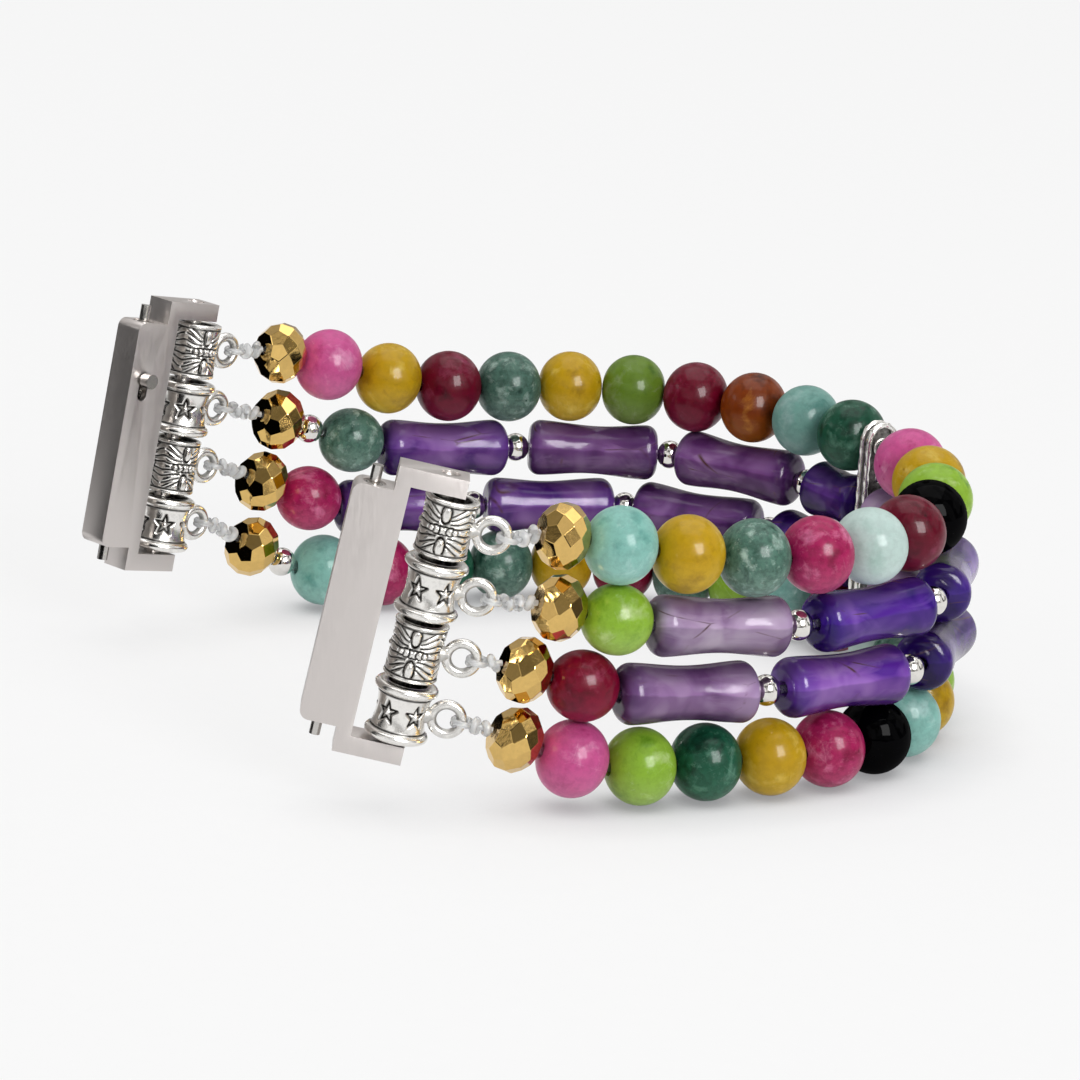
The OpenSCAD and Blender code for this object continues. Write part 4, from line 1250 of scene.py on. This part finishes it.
class EndBars(bpy.types.Operator):
    """Give the milled end bars eased edges and a satin finish"""

    bl_idname = "band.end_bars"
    bl_label = "End bars"

    def execute(self, context):
        colours = context.scene.band_colours
        # Stainless steel, milled and brushed so fine along the bar that it reads as an even satin
        satin = metal_material("satin_stainless_steel", colours.steel,
                               roughness=0.36, grain_mm=0.07, relief_mm=0.002,
                               stretch=(1, 1, 0.05), dark=0.96)
        for side in SIDES:
            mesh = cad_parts[f"{side}_end_bar"].data.copy()
            work = bmesh.new()
            work.from_mesh(mesh)
            bmesh.ops.remove_doubles(work, verts=work.verts, dist=0.0005 * MM)
            bmesh.ops.dissolve_limit(
                work, angle_limit=math.radians(0.4), verts=work.verts, edges=work.edges)
            work.to_mesh(mesh)
            work.free()
            bar = new_object(f"{side}_milled_bar", mesh)
            bevel = bar.modifiers.new("eased", "BEVEL")
            bevel.width = 0.16 * MM
            bevel.segments = 3
            bevel.limit_method = "ANGLE"
            bevel.angle_limit = math.radians(35)
            plain(bar)
            bar.data.materials.clear()
            bar.data.materials.append(satin)
            bar.data.shade_smooth()
            bar.data.set_sharp_from_angle(angle=math.radians(28))
            finish_piece(bar, f"{side}_bar", "satin_steel", f"{side}_end_bar")
        return {"FINISHED"}


# Spring inside the bar, in millimetres on the bar's own axis, and its turns
SPRING = {"x": -6.3, "low": -3.95, "high": 3.95, "diameter": 1.2, "wire": 0.2, "turns": 6}


class SpringBars(bpy.types.Operator):
    """Finish the rods, spring bars and release tips, and wind the springs"""

    bl_idname = "band.spring_bars"
    bl_label = "Rods and spring bars"

    def execute(self, context):
        # Turned stainless steel: rings round the bar finer than the eye sees, so a soft even gloss
        steel = metal_material("turned_stainless_steel", "#c9c6c2",
                               roughness=0.22, grain_mm=0.25, relief_mm=0.003)
        # Drawn wire, never polished: a dull grey skin
        grey = metal_material("drawn_spring_wire", "#8f8c88",
                              roughness=0.35, grain_mm=0.2, relief_mm=0.003)
        wire, low, high = [SPRING[key] * MM for key in ("wire", "low", "high")]
        radius = SPRING["diameter"] * MM / 2 - wire / 2
        round_steps = 14
        steps = SPRING["turns"] * round_steps
        for side in SIDES:
            for part in ("cross_rod", "spring_bar", "release_tip"):
                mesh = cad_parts[f"{side}_{part}"].data
                mesh.materials.clear()
                mesh.materials.append(steel)
            rows = row_frame(side) @ Matrix.Translation((SPRING["x"] * MM, 0, 0))
            points = []
            for k in range(steps + 1):
                a = 2 * math.pi * k / round_steps
                rise = low + wire / 2 + (high - low - wire) * k / steps
                points.append(rows @ Vector((radius * math.cos(a), radius * math.sin(a), rise)))
            mesh = joined("spring", [swept(points, [wire / 2] * len(points), 8)])
            tidy_mesh(mesh, 60)
            mesh.materials.append(grey)
            spring = new_object(f"{side}_coil_spring", mesh)
            finish_piece(spring, f"{side}_bar", "spring_steel", f"{side}_tip_spring")
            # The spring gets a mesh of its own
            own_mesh(spring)
        return {"FINISHED"}


# Camera and stage

# Angles in degrees, lengths in metres, and the focal length in pixels of the picture's width
CAMERA = {"azimuth": -23.92, "elevation": 15.57, "roll": 3.71, "distance": 0.4044,
          "target": (-0.000978, 0.001363, 0.01361), "pixels": 4706.5, "picture": 1080}


def look_axes(azimuth, elevation):
    """Right, up and backwards for a camera at these angles; azimuth 0 looks along +Y."""
    a, e = math.radians(azimuth), math.radians(elevation)
    right = Vector((math.cos(a), math.sin(a), 0))
    back = Vector((math.sin(a) * math.cos(e), -math.cos(a) * math.cos(e), math.sin(e)))
    return right, back.cross(right), back


def put(obj, place, right, up, back):
    """Puts obj at place, with its own axes along right, up and back."""
    turn = Matrix((right, up, back)).transposed()
    obj.matrix_world = Matrix.Translation(place) @ turn.to_4x4()


def aim(obj, place, target):
    """Puts obj at place, facing target."""
    back = (place - target).normalized()
    right = Vector((0, 0, 1)).cross(back).normalized()
    put(obj, place, right, back.cross(right), back)


def softbox(name, place, target, width, length, watts):
    """A lamp behind a rectangle of cloth."""
    light = bpy.data.lights.new(name, "AREA")
    light.shape = "RECTANGLE"
    light.size, light.size_y = width, length
    light.energy = watts
    aim(new_object(name, light), Vector(place), Vector(target))


def rectangle(name, width, length):
    """A flat object about its own middle."""
    w, l = width / 2, length / 2
    mesh = bpy.data.meshes.new(name)
    mesh.from_pydata([(-w, -l, 0), (w, -l, 0), (w, l, 0), (-w, l, 0)], [], [(0, 1, 2, 3)])
    return new_object(name, mesh)


def backdrop_material(base):
    """Matt paper: most of its light is its own, so it stays white, with a painted shadow near the
    band.
    """
    own_light = 0.8
    material = bpy.data.materials.new("white_paper")
    tree = empty_tree(material)
    where = add(tree, "ShaderNodeTexCoord").outputs["Object"]
    fibre = add(tree, "ShaderNodeTexNoise", inputs={
        "Vector": where, "Scale": cells(2), "Detail": 3})
    tint = add(tree, "ShaderNodeValToRGB", {"stops": [(0.3, "#fdfdfd"), (0.7, "#ffffff")]}, {
        "Fac": fibre})
    paper = add(tree, "ShaderNodeMix", SHADE, {0: 1.0, 6: base, 7: tint})
    matt = add(tree, "ShaderNodeBsdfDiffuse", inputs={"Color": paper})
    # Painted shadow: the paper's own light is darkened where the band closes it in, most under a
    # bead
    near = add(tree, "ShaderNodeAmbientOcclusion", {"samples": 16}, {"Distance": 11 * MM})
    painted_contact_shadow = add(tree, "ShaderNodeValToRGB", {
        "stops": [(0.25, "#a2a2a4"), (0.6, "#eaeaeb"), (0.9, "#ffffff")]}, {
        "Fac": near.outputs["AO"]})
    lit = add(tree, "ShaderNodeMix", SHADE, {0: 1.0, 6: base, 7: painted_contact_shadow})
    glow = add(tree, "ShaderNodeEmission", inputs={"Color": lit, "Strength": 1.0})
    path = add(tree, "ShaderNodeLightPath")
    seen = path.outputs["Is Camera Ray"]
    for ray in ("Is Glossy Ray", "Is Transmission Ray"):
        seen = add(tree, "ShaderNodeMath", {"operation": "MAXIMUM"}, {
            0: seen, 1: path.outputs[ray]})
    amount = add(tree, "ShaderNodeMath", {"operation": "MULTIPLY"}, {0: seen, 1: own_light})
    both = add(tree, "ShaderNodeMixShader", inputs={0: amount, 1: matt, 2: glow})
    add(tree, "ShaderNodeOutputMaterial", inputs={"Surface": both})
    return material


def card(name, place, target, width, length, shade, strength=1.0):
    """A card that only reflections see."""
    obj = rectangle(name, width, length)
    aim(obj, Vector(place), Vector(target))
    material = bpy.data.materials.new(name)
    tree = empty_tree(material)
    glow = add(tree, "ShaderNodeEmission", inputs={"Color": shade, "Strength": strength})
    add(tree, "ShaderNodeOutputMaterial", inputs={"Surface": glow})
    obj.data.materials.append(material)
    obj.visible_camera = False
    obj.visible_diffuse = False
    obj.visible_shadow = False


def studio_world(base):
    """White round the camera, soft light round the band, and lit and unlit panels for mirrors."""
    world = bpy.data.worlds.new("studio")
    tree = empty_tree(world)
    path = add(tree, "ShaderNodeLightPath")
    seen = add(tree, "ShaderNodeMath", {"operation": "MAXIMUM"}, {
        0: path.outputs["Is Camera Ray"], 1: path.outputs["Is Transmission Ray"]})
    soft = add(tree, "ShaderNodeBackground", inputs={"Color": "#ffffff", "Strength": 0.46})
    shown = add(tree, "ShaderNodeBackground", inputs={"Color": base, "Strength": 1.0})
    where = add(tree, "ShaderNodeTexCoord").outputs["Generated"]
    panels = add(tree, "ShaderNodeTexVoronoi", {"feature": "F1"}, {"Vector": where, "Scale": 3.5})
    shade = add(tree, "ShaderNodeSeparateColor", inputs={"Color": panels.outputs["Color"]})
    level = add(tree, "ShaderNodeValToRGB", {
        "stops": [(0.0, "#2a2826"), (0.22, "#9a9896"), (0.5, "#dcdad8"), (1.0, "#ffffff")]}, {
        "Fac": shade})
    glossy = add(tree, "ShaderNodeBackground", inputs={"Color": level, "Strength": 1.05})
    both = add(tree, "ShaderNodeMixShader", inputs={
        0: path.outputs["Is Glossy Ray"], 1: soft, 2: glossy})
    both = add(tree, "ShaderNodeMixShader", inputs={0: seen, 1: both, 2: shown})
    add(tree, "ShaderNodeOutputWorld", inputs={"Surface": both})
    return world


def add_camera(right, up, back):
    """The camera, a little rolled."""
    roll = math.radians(CAMERA["roll"])
    right, up = (right * math.cos(roll) + up * math.sin(roll),
                 up * math.cos(roll) - right * math.sin(roll))
    data = bpy.data.cameras.new("camera")
    data.sensor_width = 36
    data.sensor_fit = "HORIZONTAL"
    data.lens = CAMERA["pixels"] / CAMERA["picture"] * data.sensor_width
    data.clip_start = 0.01
    camera = new_object("camera", data)
    place = Vector(CAMERA["target"]) + back * CAMERA["distance"]
    put(camera, place, right, up, back)
    return camera


class Stage(bpy.types.Operator):
    """Set the floor, the lights, the cards and the camera"""

    bl_idname = "band.stage"
    bl_label = "Stage"

    def execute(self, context):
        scene = context.scene
        base = tuple(scene.band_colours.backdrop)
        floor = rectangle("floor", 6, 6)
        floor.location.z = -0.02 * MM
        floor.data.materials.append(backdrop_material(base))
        scene.world = studio_world(base)

        target = Vector((0, 0, 0.012))
        right, up, back = look_axes(CAMERA["azimuth"], CAMERA["elevation"])
        front = right * 0.44 + up * 0.29 + back * 0.85
        side = back * 0.1 - right * 0.95 + up * 0.25
        softbox("key_softbox", target + front * 0.8, target, 0.34, 0.34, watts=2.5)
        card("window_card", target + front * 0.75, target, 0.34, 0.4, "#ffffff", strength=16)
        softbox("top_softbox", (0.1, 0.2, 1.15), target, 1.2, 1.2, watts=6.5)
        softbox("left_softbox", target + side * 0.7, target, 0.2, 0.4, watts=0.5)
        card("dark_card_left", (-0.13, 0.062, 0.02), target, 0.16, 0.12, "#050505")
        card("dark_card_between_ends", (-0.042, 0.0, 0.016), target, 0.05, 0.03, "#040404")
        card("dark_card_behind_end", (-0.028, 0.042, 0.011), target, 0.03, 0.022, "#040404")
        card("dark_card_front", target + back * 0.36 - up * 0.115, target, 0.5, 0.06, "#171514")

        scene.camera = add_camera(right, up, back)
        scene.view_settings.view_transform = "Standard"
        return {"FINISHED"}


STEPS = (RoundBeads, AmethystTubes, SilverBalls, GoldRondelles, Divider, Bails, Cords, EndKnots,
         EndBars, SpringBars, Stage)


class BandPanel(bpy.types.Panel):
    """Lists the band's pieces, sizes and colours."""

    bl_idname = "VIEW3D_PT_band"
    bl_label = "Stretch watch band"
    bl_space_type = "VIEW_3D"
    bl_region_type = "UI"
    bl_category = "Band"

    def draw(self, context):
        for step in STEPS:
            self.layout.operator(step.bl_idname)
        for group in (context.scene.band_sizes, context.scene.band_colours):
            for key in group.__annotations__:
                self.layout.prop(group, key)


CLASSES = (BandSizes, BandColours, *STEPS, BandPanel)


def register():
    for cls in CLASSES:
        bpy.utils.register_class(cls)
    bpy.types.Scene.band_sizes = bpy.props.PointerProperty(type=BandSizes)
    bpy.types.Scene.band_colours = bpy.props.PointerProperty(type=BandColours)


def unregister():
    del bpy.types.Scene.band_sizes
    del bpy.types.Scene.band_colours
    for cls in reversed(CLASSES):
        bpy.utils.unregister_class(cls)


def main():
    register()
    for step in STEPS:
        group, name = step.bl_idname.split(".")
        getattr(getattr(bpy.ops, group), name)()


if __name__ == "__main__":
    main()
